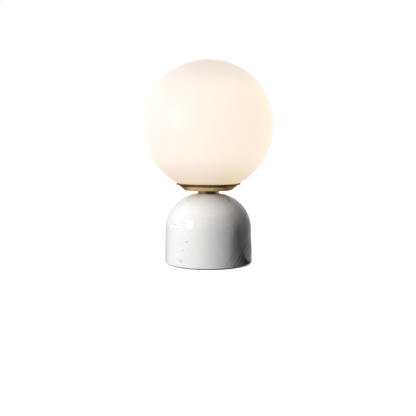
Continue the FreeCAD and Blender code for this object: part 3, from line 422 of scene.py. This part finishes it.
def brass(name, colour, roughness, rings_per_metre, ring_depth, painted_shade_from=None):
    """Turned or spun brass. The painted shade under the lip starts at one radius, under one
    height.
    """
    material, tree, shader = new_material(name)
    place = place_of(tree)
    rings = use_group(tree, ring_group, Place=place, Rings_per_metre=rings_per_metre)
    tarnish = ramp(tree, noise(tree, place, 70.0, 4.0), 0.35, 0.75)
    deep = tuple(c * f for c, f in zip(colour, (0.90, 0.86, 0.78))) + (1,)
    shade = blend(tree, maths(tree, "MULTIPLY", tarnish, 0.5), colour + (1,), deep)
    shade = blend(tree, maths(tree, "MULTIPLY", rings["Height"], 0.22), shade, deep)
    rough = maths(tree, "ADD", roughness, maths(tree, "MULTIPLY", rings["Height"], 0.08))
    if painted_shade_from is not None:
        radius, top = painted_shade_from
        height = add(tree, "ShaderNodeSeparateXYZ", None, Vector=place).outputs["Z"]
        outside = ramp(tree, rings["Radius"], radius, radius + HOLLOW_FADE)
        under = ramp(tree, height, top + LIP_FADE, top - LIP_FADE)
        hollow = maths(tree, "MULTIPLY", outside, under)
        # Painted shade: the hollow under the lip is darkened to brown.
        shade = blend(tree, maths(tree, "MULTIPLY", hollow, 0.92), shade, UNDER_LIP_PAINTED_SHADE)
        rough = maths(tree, "ADD", rough, maths(tree, "MULTIPLY", hollow, 0.10))
        shader.inputs["Specular Tint"].default_value = EDGE_TINT
    tree.links.new(shade, shader.inputs["Base Color"])
    tree.links.new(rough, shader.inputs["Roughness"])
    shader.inputs["Metallic"].default_value = 1.0
    roughen(tree, shader, rings["Height"], ring_depth, 0.00005)
    return material


# %% [markdown]
# ## Opal glass, lit from inside
#
# Opal glass scatters the lamp's light through its whole wall, so the globe glows as one
# even surface with no bright spot. The lamp inside stands on a stem and shines mostly
# sideways, so the glow is fullest round the middle and falls off a little towards the
# crown and towards the mouth. The glow is warm; the daylight that falls on the satin
# outside is white, and it cools the side that faces the window. Blown glass also has
# faint streaks, left where the gather was turned.

# %% The opal glass
GLOW = (0.95, 0.83, 0.67)
GLOW_LOW = (0.71, 0.545, 0.36)
GLOW_HIGH = (0.70, 0.60, 0.50)
OPAL_WHITE = (0.06, 0.085, 0.155)
OPAL_STREAK = (0.052, 0.074, 0.14)


def opal_glass():
    material, tree, shader = new_material("opal_glass")
    place = place_of(tree)
    split = add(tree, "ShaderNodeSeparateXYZ", None, Vector=place).outputs
    above = maths(tree, "SUBTRACT", split["Z"], globe_centre_height)
    height = maths(tree, "DIVIDE", above, globe_radius)
    low = ramp(tree, height, -0.40, -1.05)
    high = ramp(tree, height, 0.45, 1.10)
    colour = blend(tree, low, GLOW + (1,), GLOW_LOW + (1,))
    colour = blend(tree, high, colour, GLOW_HIGH + (1,))
    swirl = add(tree, "ShaderNodeMapping", None, Vector=place, Rotation=(0.5, 0.4, 0.0),
                Scale=(1.0, 1.0, 0.25)).outputs[0]
    streak = ramp(tree, noise(tree, swirl, 45.0, 3.0, Distortion=1.2), 0.35, 0.70)
    colour = blend(tree, maths(tree, "MULTIPLY", streak, 0.035), colour, (1, 0.93, 0.82, 1))
    tree.links.new(colour, shader.inputs["Emission Color"])
    shader.inputs["Emission Strength"].default_value = 1.0
    white = blend(tree, streak, OPAL_WHITE + (1,), OPAL_STREAK + (1,))
    tree.links.new(white, shader.inputs["Base Color"])
    satin = maths(tree, "ADD", 0.50, maths(tree, "MULTIPLY", streak, 0.08))
    tree.links.new(satin, shader.inputs["Roughness"])
    shader.inputs["IOR"].default_value = 1.45
    return material


# %% [markdown]
# ## The finishes inside and underneath
#
# When the globe is lifted off, its stem, the lampholder and the capsule lamp show, and
# from below the foam pad and its screws. Each gets the finish that such a piece has:
# zinc-plated steel is bluish and slightly crystalline, a glazed ceramic is glossy with
# tiny pits, silicone is cloudy and soft, and foam has an open grain.

# %% Plated steel and tinned contacts
def plated(name, colour, roughness):
    material, tree, shader = new_material(name)
    place = place_of(tree)
    cells = add(tree, "ShaderNodeTexVoronoi", None, Vector=place, Scale=900.0)
    spangle = ramp(tree, cells.outputs["Distance"], 0.1, 0.7)
    dull = tuple(c * 0.86 for c in colour) + (1,)
    shade = blend(tree, maths(tree, "MULTIPLY", spangle, 0.5), colour + (1,), dull)
    tree.links.new(shade, shader.inputs["Base Color"])
    rough = maths(tree, "ADD", roughness, maths(tree, "MULTIPLY", spangle, 0.12))
    tree.links.new(rough, shader.inputs["Roughness"])
    shader.inputs["Metallic"].default_value = 1.0
    roughen(tree, shader, noise(tree, place, 1500.0), 0.04, 0.0001)
    return material


# %% Plastics, rubbers, ceramic and fibre
def moulded(name, colour, roughness, grain_scale, grain, gloss=0.0, mottle=0.08):
    """A dense non-metal: its own colour, slightly mottled, with a moulded or cast grain."""
    material, tree, shader = new_material(name)
    place = place_of(tree)
    cloud = ramp(tree, noise(tree, place, 120.0, 4.0), 0.3, 0.7)
    dull = tuple(c * (1 - mottle * 2) for c in colour) + (1,)
    tree.links.new(blend(tree, cloud, colour + (1,), dull), shader.inputs["Base Color"])
    surface = noise(tree, place, grain_scale, 3.0)
    rough = maths(tree, "ADD", roughness, maths(tree, "MULTIPLY", surface, 0.12))
    tree.links.new(rough, shader.inputs["Roughness"])
    shader.inputs["Coat Weight"].default_value = gloss
    shader.inputs["Coat Roughness"].default_value = 0.08
    roughen(tree, shader, surface, grain, 0.0002)
    return material


# %% What is lit: the capsule's dome and the light chips
def lit(name, colour, glow, strength, roughness):
    material, tree, shader = new_material(name)
    place = place_of(tree)
    cloud = ramp(tree, noise(tree, place, 260.0, 3.0), 0.3, 0.7)
    dim = tuple(c * 0.94 for c in glow) + (1,)
    tree.links.new(blend(tree, cloud, glow + (1,), dim), shader.inputs["Emission Color"])
    shader.inputs["Emission Strength"].default_value = strength
    dull = tuple(c * 0.95 for c in colour) + (1,)
    tree.links.new(blend(tree, cloud, colour + (1,), dull), shader.inputs["Base Color"])
    shader.inputs["Roughness"].default_value = roughness
    return material


# %% [markdown]
# ## Giving each piece its finish
#
# The record names a material slot for each piece, which is the finish that a maker would
# ask for. One table turns those names into the materials above. Two brasses have no slot
# of their own: the drawn one is duller, for the stem and the lampholder's cup, and the
# dark one is painted shade on the neck between the gallery and the stone, where the gallery's
# shadow falls.

# %% Make the materials and put them on the pieces
BRASS_COLOUR = (0.80, 0.60, 0.33)
finishes = {
    "marble": marble(),
    "satin_brass": brass("satin_brass", BRASS_COLOUR, 0.11, 3000.0, 0.05,
                         painted_shade_from=(dish_high.x - 5.3 * MM, dish_high.z - 0.7 * MM)),
    "drawn_brass": brass("drawn_brass", (0.78, 0.59, 0.33), 0.32, 3000.0, 0.04),
    # The neck's brass is darker as painted shade, for the shadow under the gallery.
    "shaded_brass": brass("shaded_brass", (0.42, 0.29, 0.14), 0.24, 3000.0, 0.05),
    "brass_fitting": brass("turned_brass", (0.76, 0.60, 0.33), 0.26, 1800.0, 0.20),
    "zinc_steel": plated("zinc_plated_steel", (0.66, 0.68, 0.71), 0.28),
    "tinned_contact": plated("tinned_bronze", (0.76, 0.74, 0.70), 0.20),
    "opal_glass": opal_glass(),
    "silicone": moulded("cloudy_silicone", (0.86, 0.86, 0.83), 0.42, 700.0, 0.05),
    "foam": moulded("black_foam", (0.035, 0.035, 0.037), 0.85, 1400.0, 0.9),
    "fibre": moulded("red_fibre", (0.36, 0.13, 0.07), 0.62, 900.0, 0.25, mottle=0.15),
    "black_nylon": moulded("black_nylon", (0.025, 0.025, 0.027), 0.40, 1100.0, 0.20),
    "white_nylon": moulded("white_nylon", (0.80, 0.80, 0.76), 0.38, 1100.0, 0.12),
    "white_ceramic": moulded("glazed_ceramic", (0.86, 0.85, 0.81), 0.30, 400.0, 0.04,
                             gloss=0.9),
    "wire_brown": moulded("brown_insulation", (0.16, 0.055, 0.025), 0.35, 800.0, 0.05),
    "wire_blue": moulded("blue_insulation", (0.03, 0.12, 0.42), 0.35, 800.0, 0.05),
    "lamp_plastic": moulded("white_lamp_plastic", (0.84, 0.84, 0.81), 0.34, 900.0, 0.08),
    "light_board": moulded("white_board", (0.82, 0.82, 0.78), 0.30, 500.0, 0.03, gloss=0.5),
    "frosted_dome": lit("frosted_dome", (0.60, 0.58, 0.54), (0.95, 0.80, 0.58), 0.75, 0.45),
    "light_chip": lit("light_chip", (0.90, 0.75, 0.30), (1.0, 0.84, 0.58), 6.0, 0.30),
}


# %% [markdown]
# The earth wire is green with a yellow stripe that turns slowly round it. A stripe that
# follows the wire would need its centreline; bands of noise across the wire's run read
# the same at this size and hold still when the model is exported.

# %% The green and yellow wire
def striped_wire():
    material, tree, shader = new_material("green_yellow_insulation")
    place = place_of(tree)
    wave = add(tree, "ShaderNodeTexWave", {"bands_direction": "DIAGONAL"}, Vector=place,
               Scale=120.0, Distortion=1.0).outputs["Fac"]
    stripe = ramp(tree, wave, 0.55, 0.62)
    colour = blend(tree, stripe, (0.05, 0.30, 0.05, 1), (0.80, 0.62, 0.05, 1))
    tree.links.new(colour, shader.inputs["Base Color"])
    shader.inputs["Roughness"].default_value = 0.38
    return material


finishes["wire_green"] = striped_wire()

slot_of = {part["node"]: part["material_slot"] for part in frame["record"]["subparts"]}
for name, piece in nodes.items():
    finish = finishes[slot_of[name]]
    if not piece.material_slots:
        piece.data.materials.append(finish)
    for material_slot in piece.material_slots:
        material_slot.material = finish
nodes["neck_spacer"].material_slots[0].material = finishes["shaded_brass"]
print(len(finishes), "finishes on", len(nodes), "pieces")

# %% [markdown]
# ## Small pieces that repeat
#
# Screws and ribs follow a rule, so Geometry Nodes make them: a tree with named inputs
# grows the shape, and the same tree serves every size. The result is turned into a plain
# mesh, because an exported model keeps meshes and not trees.

# %% Helpers for geometry trees
def new_tree(name, inputs):
    """A geometry tree. Inputs are (name, kind, value). Returns it with its two ends."""
    tree = bpy.data.node_groups.new(name, "GeometryNodeTree")
    tree.interface.new_socket("Geometry", in_out="INPUT", socket_type="NodeSocketGeometry")
    for label, kind, value in inputs:
        socket = tree.interface.new_socket(label, in_out="INPUT", socket_type=kind)
        socket.default_value = value
    tree.interface.new_socket("Geometry", in_out="OUTPUT", socket_type="NodeSocketGeometry")
    return tree, tree.nodes.new("NodeGroupInput").outputs, tree.nodes.new("NodeGroupOutput")


def end_tree(tree, sink, shape, finish):
    """Close a tree with Realize Instances and Set Material."""
    real = add(tree, "GeometryNodeRealizeInstances", None, Geometry=shape)
    done = add(tree, "GeometryNodeSetMaterial", None, Geometry=real.outputs[0],
               Material=finish)
    tree.links.new(done.outputs[0], sink.inputs[0])


def grow(name, tree, points, body, slot, **sizes):
    """Run a tree on some points and keep the result as a plain mesh on one body."""
    seed = bpy.data.meshes.new(name)
    seed.from_pydata(points, [], [])
    piece = bpy.data.objects.new(name, seed)
    bpy.context.scene.collection.objects.link(piece)
    modifier = piece.modifiers.new(name, "NODES")
    modifier.node_group = tree
    for item in tree.interface.items_tree:
        label = item.name.replace(" ", "_")
        if item.in_out == "INPUT" and label in sizes:
            modifier[item.identifier] = sizes[label]
    grown = piece.evaluated_get(bpy.context.evaluated_depsgraph_get())
    mesh = bpy.data.meshes.new_from_object(grown)
    piece.modifiers.remove(modifier)
    piece.data = mesh
    mesh.shade_smooth()
    mesh.set_sharp_from_angle(angle=math.radians(35))
    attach(piece, body)
    print(name, len(mesh.polygons), "faces")
    return piece


def combine(tree, x, y, z):
    return add(tree, "ShaderNodeCombineXYZ", None, X=x, Y=y, Z=z).outputs[0]


def moved(tree, shape, height):
    return add(tree, "GeometryNodeTransform", None, Geometry=shape,
               Translation=combine(tree, 0.0, 0.0, height)).outputs[0]


# %% [markdown]
# The screws are small pan heads with a cross recess. The head is a short cylinder under a
# cone, the shank is a longer cylinder, and a cross of two blocks is meant to be cut out of
# the head. Three hold the base cover on, heads down, and two hold the lampholder, heads up.
#
# Known fault: the cut fails here. The meshes it leaves are open, they have no shank, and the
# cross stands up from the head instead of being sunk. The thing to try first is a head and
# shank turned as one closed outline, so that the cut works on a single body.

# %% The screw's tree
SCREW_HEAD = 2.75 * MM
SCREW_HEAD_HEIGHT = 1.65 * MM
SCREW_SHANK = 1.5 * MM
CROSS_WIDTH = 0.75 * MM
CROSS_REACH = 1.15
HEAD_TOP_SHARE = 0.72


def screw_tree(finish):
    tree, given, sink = new_tree("pan head screw", [
        ("Head radius", FLOAT, SCREW_HEAD), ("Head height", FLOAT, SCREW_HEAD_HEIGHT),
        ("Shank radius", FLOAT, SCREW_SHANK), ("Length", FLOAT, 0.01),
        ("Recess", FLOAT, CROSS_WIDTH), ("Turn", VECTOR, (0, 0, 0))])

    def times(value, factor):
        return maths(tree, "MULTIPLY", value, factor)

    def half(value):
        return times(value, 0.5)

    rim = half(given["Head height"])
    side = add(tree, "GeometryNodeMeshCylinder", None, Vertices=36,
               Radius=given["Head radius"], Depth=rim).outputs["Mesh"]
    dome = add(tree, "GeometryNodeMeshCone", None, Vertices=36,
               Radius_Bottom=given["Head radius"],
               Radius_Top=times(given["Head radius"], HEAD_TOP_SHARE),
               Depth=rim).outputs["Mesh"]
    shank_length = maths(tree, "SUBTRACT", given["Length"], half(rim))
    shank = add(tree, "GeometryNodeMeshCylinder", None, Vertices=28,
                Radius=given["Shank radius"], Depth=shank_length).outputs["Mesh"]
    drop = times(maths(tree, "ADD", half(shank_length), half(rim)), -1.0)
    side_height = times(times(rim, 1.5), -1.0)
    dome_height = times(rim, -1.0)
    body = add(tree, "GeometryNodeMeshBoolean", {"operation": "UNION"})
    for shape, height in ((side, side_height), (dome, dome_height),
                          (shank, maths(tree, "ADD", drop, side_height))):
        tree.links.new(moved(tree, shape, height), body.inputs["Mesh 2"])
    cross = add(tree, "GeometryNodeMeshBoolean", {"operation": "UNION"})
    arm = maths(tree, "ADD", given["Recess"], times(given["Head radius"], CROSS_REACH))
    for x, y in ((arm, given["Recess"]), (given["Recess"], arm)):
        block = add(tree, "GeometryNodeMeshCube", None,
                    Size=combine(tree, x, y, given["Head height"])).outputs["Mesh"]
        tree.links.new(block, cross.inputs["Mesh 2"])
    cut = add(tree, "GeometryNodeMeshBoolean", {"operation": "DIFFERENCE"})
    tree.links.new(body.outputs["Mesh"], cut.inputs["Mesh 1"])
    tree.links.new(cross.outputs["Mesh"], cut.inputs["Mesh 2"])
    placed = add(tree, "GeometryNodeInstanceOnPoints", None, Points=given["Geometry"],
                 Instance=cut.outputs["Mesh"])
    turn = add(tree, "FunctionNodeEulerToRotation", None, Euler=given["Turn"]).outputs[0]
    tree.links.new(turn, placed.inputs["Rotation"])
    end_tree(tree, sink, placed.outputs[0], finish)
    return tree


# %% The cover's screws and the lampholder's
screws = screw_tree(finishes["zinc_steel"])
cover_low, cover_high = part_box("cover_screws")
bolt_circle = -cover_low.y - SCREW_HEAD
cover_points = [(bolt_circle * math.cos(a), bolt_circle * math.sin(a), cover_low.z)
                for a in (math.radians(30 + 120 * i) for i in range(3))]
piece = grow("cover_screws_cross", screws, cover_points, "base", "zinc_steel",
             Length=cover_high.z - cover_low.z - SCREW_HEAD_HEIGHT, Turn=(math.pi, 0, 0.5))
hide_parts("cover_screws")

holder_low, holder_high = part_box("holder_screws")
reach = holder_high.y - SCREW_HEAD
holder_points = [(0, -reach, holder_high.z), (0, reach, holder_high.z)]
piece = grow("holder_screws_cross", screws, holder_points, "base", "zinc_steel",
             Length=holder_high.z - holder_low.z - SCREW_HEAD_HEIGHT, Turn=(0, 0, 0.6))
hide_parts("holder_screws")

# %% [markdown]
# ## The brass turnings
#
# The gallery, the stem and the lampholder's cup are turned or spun, so each is one outline
# carried round the axis. The gallery's edge is rolled over into a thick lip with a bevel
# that faces up and out, and that bevel mirrors the globe as a bright line. The lip's
# inside follows the globe's own curve with a third of a millimetre to spare.

# %% A helper that carries an outline round the axis
TURNING_SIDES = 128


def turned(name, outline, base, finish):
    """A closed outline of (radius, height) in mm, turned about the axis above base."""
    mesh = bmesh.new()
    rings = []
    for radius, height in outline:
        rings.append([])
        for i in range(TURNING_SIDES):
            a = 2 * math.pi * i / TURNING_SIDES
            rings[-1].append(mesh.verts.new((radius * MM * math.cos(a),
                                             radius * MM * math.sin(a),
                                             base + height * MM)))
    for first, second in zip(rings, rings[1:] + rings[:1]):
        for i in range(TURNING_SIDES):
            j = (i + 1) % TURNING_SIDES
            mesh.faces.new((first[i], first[j], second[j], second[i]))
    bmesh.ops.recalc_face_normals(mesh, faces=mesh.faces)
    data = bpy.data.meshes.new(name)
    mesh.to_mesh(data)
    mesh.free()
    data.shade_smooth()
    data.set_sharp_from_angle(angle=math.radians(32))
    data.materials.append(finish)
    piece = bpy.data.objects.new(name, data)
    bpy.context.scene.collection.objects.link(piece)
    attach(piece, "base")
    print(name, len(data.polygons), "faces")
    return piece


def rounded(corner_radius, corner_height, radius, start, end, steps=5):
    """Points along a rounded corner, from one angle to another in degrees."""
    points = []
    for i in range(steps + 1):
        a = math.radians(start + (end - start) * i / steps)
        points.append((corner_radius + radius * math.cos(a),
                       corner_height + radius * math.sin(a)))
    return points


# %% The gallery, with its outline in mm
TUBE_HOLE = 5.05
LIP_GAP = 0.35


def lip_top(radius):
    """Height over the gallery's underside that keeps the gap to the globe, in mm."""
    clear_of_globe = globe_radius / MM + LIP_GAP
    drop = math.sqrt(clear_of_globe ** 2 - radius ** 2)
    return (globe_centre_height - dish_low.z) / MM - drop


flank = [(TUBE_HOLE, 0.0)] + rounded(27.0, 1.5, 1.5, -90, -49) + [(33.2, 4.87)]
hollow = [(33.6, 5.28), (33.75, 5.7), (34.1, 6.0), (36.1, 6.75)]
rolled_edge = [(36.5, 6.58), (36.95, 6.55), (37.3, 6.70), (37.42, 7.02), (37.34, 7.25)]
bevel = [(36.82, 7.86), (36.62, 8.0), (36.4, 8.02)]
lip_inside = [(r, lip_top(r)) for r in (36.0, 35.4, 34.7, 34.0, 33.3)]
bowl = ([(32.95, 6.0), (32.6, 5.42), (27.6, 1.07)] + rounded(26.9, 1.5, 0.7, -49, -90)
        + [(TUBE_HOLE, 0.8)])
gallery_outline = flank + hollow + rolled_edge + bevel + lip_inside + bowl
piece = turned("gallery_spun", gallery_outline, dish_low.z, finishes["satin_brass"])
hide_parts("gallery_dish")

# %% The stem sleeve
STEM_CHAMFER = 0.3
sleeve_low, sleeve_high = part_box("stem_sleeve")
stem_radius, stem_length = sleeve_high.x / MM, (sleeve_high.z - sleeve_low.z) / MM
lower_half = [(TUBE_HOLE, STEM_CHAMFER), (TUBE_HOLE + STEM_CHAMFER, 0.0),
              (stem_radius - STEM_CHAMFER, 0.0), (stem_radius, STEM_CHAMFER)]
upper_half = [(radius, stem_length - height) for radius, height in reversed(lower_half)]
stem_outline = lower_half + upper_half
piece = turned("stem_turned", stem_outline, sleeve_low.z, finishes["drawn_brass"])
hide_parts("stem_sleeve")

# %% The lampholder's cup
CUP_WALL = 0.8
CUP_CORNER = 2.5
cup_low, cup_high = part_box("holder_cup")
cup_radius, cup_height = cup_high.x / MM, (cup_high.z - cup_low.z) / MM
corner_radius = cup_radius - CUP_CORNER
cup_outline = (
    [(TUBE_HOLE, 0.0)] + rounded(corner_radius, CUP_CORNER, CUP_CORNER, -90, 0)
    + [(cup_radius, cup_height), (cup_radius - CUP_WALL, cup_height)]
    + rounded(corner_radius, CUP_CORNER, CUP_CORNER - CUP_WALL, 0, -90)
    + [(TUBE_HOLE, CUP_WALL)])
piece = turned("holder_cup_drawn", cup_outline, cup_low.z, finishes["drawn_brass"])
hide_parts("holder_cup")

# %% [markdown]
# The silicone ring under the globe has small ribs inside its collar. They let it give when
# the glass is set down a little crooked, and they show when the globe is off.

# %% The ring's ribs
RIB_COUNT = 36
RIB_DEPTH = 0.5 * MM
RIB_WIDTH = 0.9 * MM
RIB_SHORT_OF_TOP = 0.6 * MM
RING_FLANGE = 3.1 * MM
COLLAR_RADIUS = 24.4 * MM


def rib_tree(finish):
    tree, given, sink = new_tree("collar ribs", [
        ("Count", "NodeSocketInt", RIB_COUNT), ("Ring radius", FLOAT, COLLAR_RADIUS),
        ("Rib height", FLOAT, 0.004), ("Rib depth", FLOAT, RIB_DEPTH),
        ("Rib width", FLOAT, RIB_WIDTH)])
    spots = add(tree, "GeometryNodeMeshCircle", None, Vertices=given["Count"],
                Radius=given["Ring radius"]).outputs["Mesh"]
    rib = add(tree, "GeometryNodeMeshCylinder", None, Vertices=12, Radius=given["Rib width"],
              Depth=given["Rib height"]).outputs["Mesh"]
    flat = add(tree, "GeometryNodeTransform", None, Geometry=rib,
               Scale=combine(tree, maths(tree, "DIVIDE", given["Rib depth"],
                                         given["Rib width"]), 0.6, 1.0)).outputs[0]
    place = add(tree, "GeometryNodeInputPosition").outputs[0]
    face = add(tree, "FunctionNodeAlignRotationToVector", {"axis": "X"}, Vector=place)
    placed = add(tree, "GeometryNodeInstanceOnPoints", None, Points=spots, Instance=flat)
    tree.links.new(face.outputs[0], placed.inputs["Rotation"])
    whole = add(tree, "GeometryNodeInstanceOnPoints", None, Points=given["Geometry"],
                Instance=placed.outputs[0])
    end_tree(tree, sink, whole.outputs[0], finish)
    return tree


ring_low, ring_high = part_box("globe_ring")
rib_height = ring_high.z - ring_low.z - RING_FLANGE - RIB_SHORT_OF_TOP
grow("globe_ring_ribs", rib_tree(finishes["silicone"]),
     [(0, 0, ring_low.z + RING_FLANGE + rib_height / 2)], "base", "silicone",
     Count=RIB_COUNT, Ring_radius=COLLAR_RADIUS, Rib_height=rib_height,
     Rib_depth=RIB_DEPTH, Rib_width=RIB_WIDTH)

# %% [markdown]
# ## The studio
#
# The photograph has a white ground with no horizon. The floor and the world are white to
# the camera and to anything that reflects them, and the floor still takes the lamp's
# shadow. The light comes from the left: a small window, which shows as the bright spot in
# the stone's polish, and a larger soft box beside it, which no reflection sees. A third,
# weak one behind the lamp keeps its back from going black.

# %% A mask for what sees the white ground
def sees_white(tree):
    """1 for what the camera, a reflection or clear glass sees, and 0 for plain light."""
    path = add(tree, "ShaderNodeLightPath").outputs
    seen = maths(tree, "MAXIMUM", path["Is Camera Ray"], path["Is Glossy Ray"])
    return maths(tree, "MAXIMUM", seen, path["Is Transmission Ray"])


# %% The world
AMBIENT = 0.015

world = bpy.data.worlds.new("studio")
bpy.context.scene.world = world
world.use_nodes = True
tree = world.node_tree
tree.nodes.clear()
dim = add(tree, "ShaderNodeBackground", None, Color=(1, 1, 1, 1), Strength=AMBIENT)
white = add(tree, "ShaderNodeBackground", None, Color=(1, 1, 1, 1), Strength=1.0)
mixed = add(tree, "ShaderNodeMixShader", None, _0=sees_white(tree), _1=dim.outputs[0],
            _2=white.outputs[0])
add(tree, "ShaderNodeOutputWorld", None, Surface=mixed.outputs[0])
print("world light", AMBIENT)

# %% The floor
FLOOR_SIZE = 4.0
FLOOR_GLOW_NEAR = 0.93
FLOOR_GLOW_FAR = 1.0
FLOOR_GLOW_REACH = 0.40
FLOOR_BOUNCE = 0.03
FLOOR_BELOW_PAD = 0.05 * MM
FLOOR_PAPER = 0.82


def flat_floor():
    """One square, just below the foot pad, so that the two never share a face."""
    mesh = bpy.data.meshes.new("floor")
    x, z = FLOOR_SIZE / 2, -FLOOR_BELOW_PAD
    mesh.from_pydata([(-x, -x, z), (x, -x, z), (x, x, z), (-x, x, z)], [], [(0, 1, 2, 3)])
    piece = bpy.data.objects.new("floor", mesh)
    bpy.context.scene.collection.objects.link(piece)
    return piece


def floor_finish():
    """White by its own glow, with a painted shadow close in under the stone, and clear from
    below.
    """
    material, tree, shader = new_material("studio_floor")
    tree.nodes.remove(shader)
    place = place_of(tree)
    radius = add(tree, "ShaderNodeVectorMath", {"operation": "LENGTH"},
                 _0=place).outputs["Value"]
    # Painted shadow: the glow fades out in the strip of floor under the stone's edge.
    clear_of_painted_shadow = ramp(tree, radius, stone_radius - 3 * MM, stone_radius - 0.5 * MM)
    level = add(tree, "ShaderNodeMapRange", None, Value=radius, From_Min=stone_radius,
                From_Max=FLOOR_GLOW_REACH, To_Min=FLOOR_GLOW_NEAR,
                To_Max=FLOOR_GLOW_FAR).outputs[0]
    glow = add(tree, "ShaderNodeEmission", None, Color=(1, 1, 1, 1),
               Strength=maths(tree, "MULTIPLY", clear_of_painted_shadow, level))
    paper = add(tree, "ShaderNodeBsdfDiffuse", None,
                Color=(FLOOR_PAPER, FLOOR_PAPER, FLOOR_PAPER, 1))
    seen = add(tree, "ShaderNodeAddShader", None, _0=glow.outputs[0], _1=paper.outputs[0])
    bounce = add(tree, "ShaderNodeBsdfDiffuse", None,
                 Color=(FLOOR_BOUNCE, FLOOR_BOUNCE, FLOOR_BOUNCE, 1))
    both = add(tree, "ShaderNodeMixShader", None, _0=sees_white(tree), _1=bounce.outputs[0],
               _2=seen.outputs[0])
    below = add(tree, "ShaderNodeNewGeometry").outputs["Backfacing"]
    clear = add(tree, "ShaderNodeBsdfTransparent", None)
    sided = add(tree, "ShaderNodeMixShader", None, _0=below, _1=both.outputs[0],
                _2=clear.outputs[0])
    tree.links.new(sided.outputs[0], tree.nodes["Material Output"].inputs["Surface"])
    return material


floor = flat_floor()
floor.data.materials.append(floor_finish())
print("floor", FLOOR_SIZE, "m square")

# %% [markdown]
# A soft box's direction is easiest to give as a photographer would: so many degrees round
# from the camera, so many degrees up, and how far away.

# %% A helper for directions
TARGET = Vector((0, 0, 0.10))


def direction(round_from_front, up):
    """Unit vector from the lamp. Round is in degrees, + to the right; 0 is the front."""
    a, e = math.radians(round_from_front), math.radians(up)
    return Vector((math.sin(a) * math.cos(e), -math.cos(a) * math.cos(e), math.sin(e)))


def aim(piece, round_from_front, up, distance):
    """Stand a soft box there, facing the table lamp."""
    away = direction(round_from_front, up)
    piece.location = TARGET + away * distance
    piece.rotation_mode = "QUATERNION"
    piece.rotation_quaternion = away.to_track_quat("Z", "Y")


# %% The soft boxes
SOFT_BOXES = [
    # name, width and height in metres, watts, degrees round and up, distance, mirrored
    ("key_window", 0.27, 0.36, 4.0, -52, 14.5, 1.0, True),
    ("key_soft_box", 0.40, 0.40, 8.6, -40, 8, 1.1, False),
    ("back_soft_box", 0.9, 0.9, 2.4, 172, 28, 1.4, False),
]
for name, width, height, watts, round_from_front, up, distance, mirrored in SOFT_BOXES:
    light = bpy.data.lights.new(name, "AREA")
    light.shape = "RECTANGLE"
    light.size, light.size_y = width, height
    light.energy = watts
    box = bpy.data.objects.new(name, light)
    bpy.context.scene.collection.objects.link(box)
    aim(box, round_from_front, up, distance)
    box.visible_camera = False
    box.visible_glossy = mirrored
    print(name, watts, "W")

# %% [markdown]
# Polished stone and metal show whatever stands round them, so a photographer chooses that
# too. In front of this lamp the room is dark, and behind it lies the white ground. A wall
# that only reflections see gives both: the brass gets its dark bands from the front half,
# and the stone's right edge gets its pale stripe from where the white begins.

# %% The dark room's shape
ROOM_RADIUS = 1.25
ROOM_HEIGHT = 1.30
ROOM_SIDES = 48
ROOM_INSET = 0.5 * MM


def dark_room():
    """A flat ring on the ground, turned up into a wall. Seen in reflections only."""
    rings = [(stone_radius + ROOM_INSET, ROOM_INSET), (ROOM_RADIUS, ROOM_INSET),
             (ROOM_RADIUS, ROOM_HEIGHT)]
    turns = [2 * math.pi * i / ROOM_SIDES for i in range(ROOM_SIDES)]
    mesh = bmesh.new()
    loops = []
    for radius, z in rings:
        loops.append([mesh.verts.new((radius * math.cos(a), radius * math.sin(a), z))
                      for a in turns])
    for inner, outer in zip(loops, loops[1:]):
        for i in range(ROOM_SIDES):
            j = (i + 1) % ROOM_SIDES
            mesh.faces.new((inner[i], outer[i], outer[j], inner[j]))
    data = bpy.data.meshes.new("dark_room")
    mesh.to_mesh(data)
    mesh.free()
    piece = bpy.data.objects.new("dark_room", data)
    bpy.context.scene.collection.objects.link(piece)
    for ray in ("camera", "diffuse", "transmission", "volume_scatter", "shadow"):
        setattr(piece, f"visible_{ray}", False)
    return piece


room = dark_room()
print("room", len(room.data.polygons), "faces")

# %% What the room looks like in a reflection
# Turns are in degrees from the front, + to the right, and lengths in metres.
ROOM_DARK = 0.06
TABLE_LIT = 0.42
TABLE_LIT_TURN = (-20.0, -45.0)
WALL_LEFT = 0.95
WALL_LEFT_TURN = (-72.0, -95.0)
PALE_RIGHT = 0.80
PALE_RIGHT_TURN = (80.0, 98.0)
SHADOW_TURN = (108.0, 140.0)
SHADOW_REACH = (0.26, 0.12)
SHADOW_DEPTH = 0.6


def room_finish():
    """Dark in front, lit on the left, pale behind, and the lamp's shadow on the right."""
    material, tree, shader = new_material("dark_room")
    tree.nodes.remove(shader)
    place = place_of(tree)
    split = add(tree, "ShaderNodeSeparateXYZ", None, Vector=place).outputs
    turn = maths(tree, "ARCTAN2", split["X"], maths(tree, "MULTIPLY", split["Y"], -1.0))
    reach = add(tree, "ShaderNodeVectorMath", {"operation": "LENGTH"},
                _0=place).outputs["Value"]

    def between(ends):
        return ramp(tree, turn, *(math.radians(end) for end in ends))

    standing = maths(tree, "GREATER_THAN", split["Z"], 2 * MM)
    wall = maths(tree, "MULTIPLY", between(WALL_LEFT_TURN), WALL_LEFT)
    table = maths(tree, "MULTIPLY", between(TABLE_LIT_TURN), TABLE_LIT)
    left = add(tree, "ShaderNodeMix", {"data_type": "FLOAT"}, _0=standing, _2=table,
               _3=wall).outputs[0]
    right = maths(tree, "MULTIPLY", between(PALE_RIGHT_TURN), PALE_RIGHT)
    shade = maths(tree, "MULTIPLY", ramp(tree, reach, *SHADOW_REACH), between(SHADOW_TURN))
    shade = maths(tree, "MULTIPLY", shade, SHADOW_DEPTH)
    right = maths(tree, "MULTIPLY", right, maths(tree, "SUBTRACT", 1.0, shade))
    pale = maths(tree, "MAXIMUM", left, right)
    glow = add(tree, "ShaderNodeEmission", None, Color=(1, 1, 1, 1),
               Strength=maths(tree, "MAXIMUM", pale, ROOM_DARK))
    tree.links.new(glow.outputs[0], tree.nodes["Material Output"].inputs["Surface"])
    return material


room.data.materials.append(room_finish())
print("room's darkest", ROOM_DARK, "and brightest", WALL_LEFT)
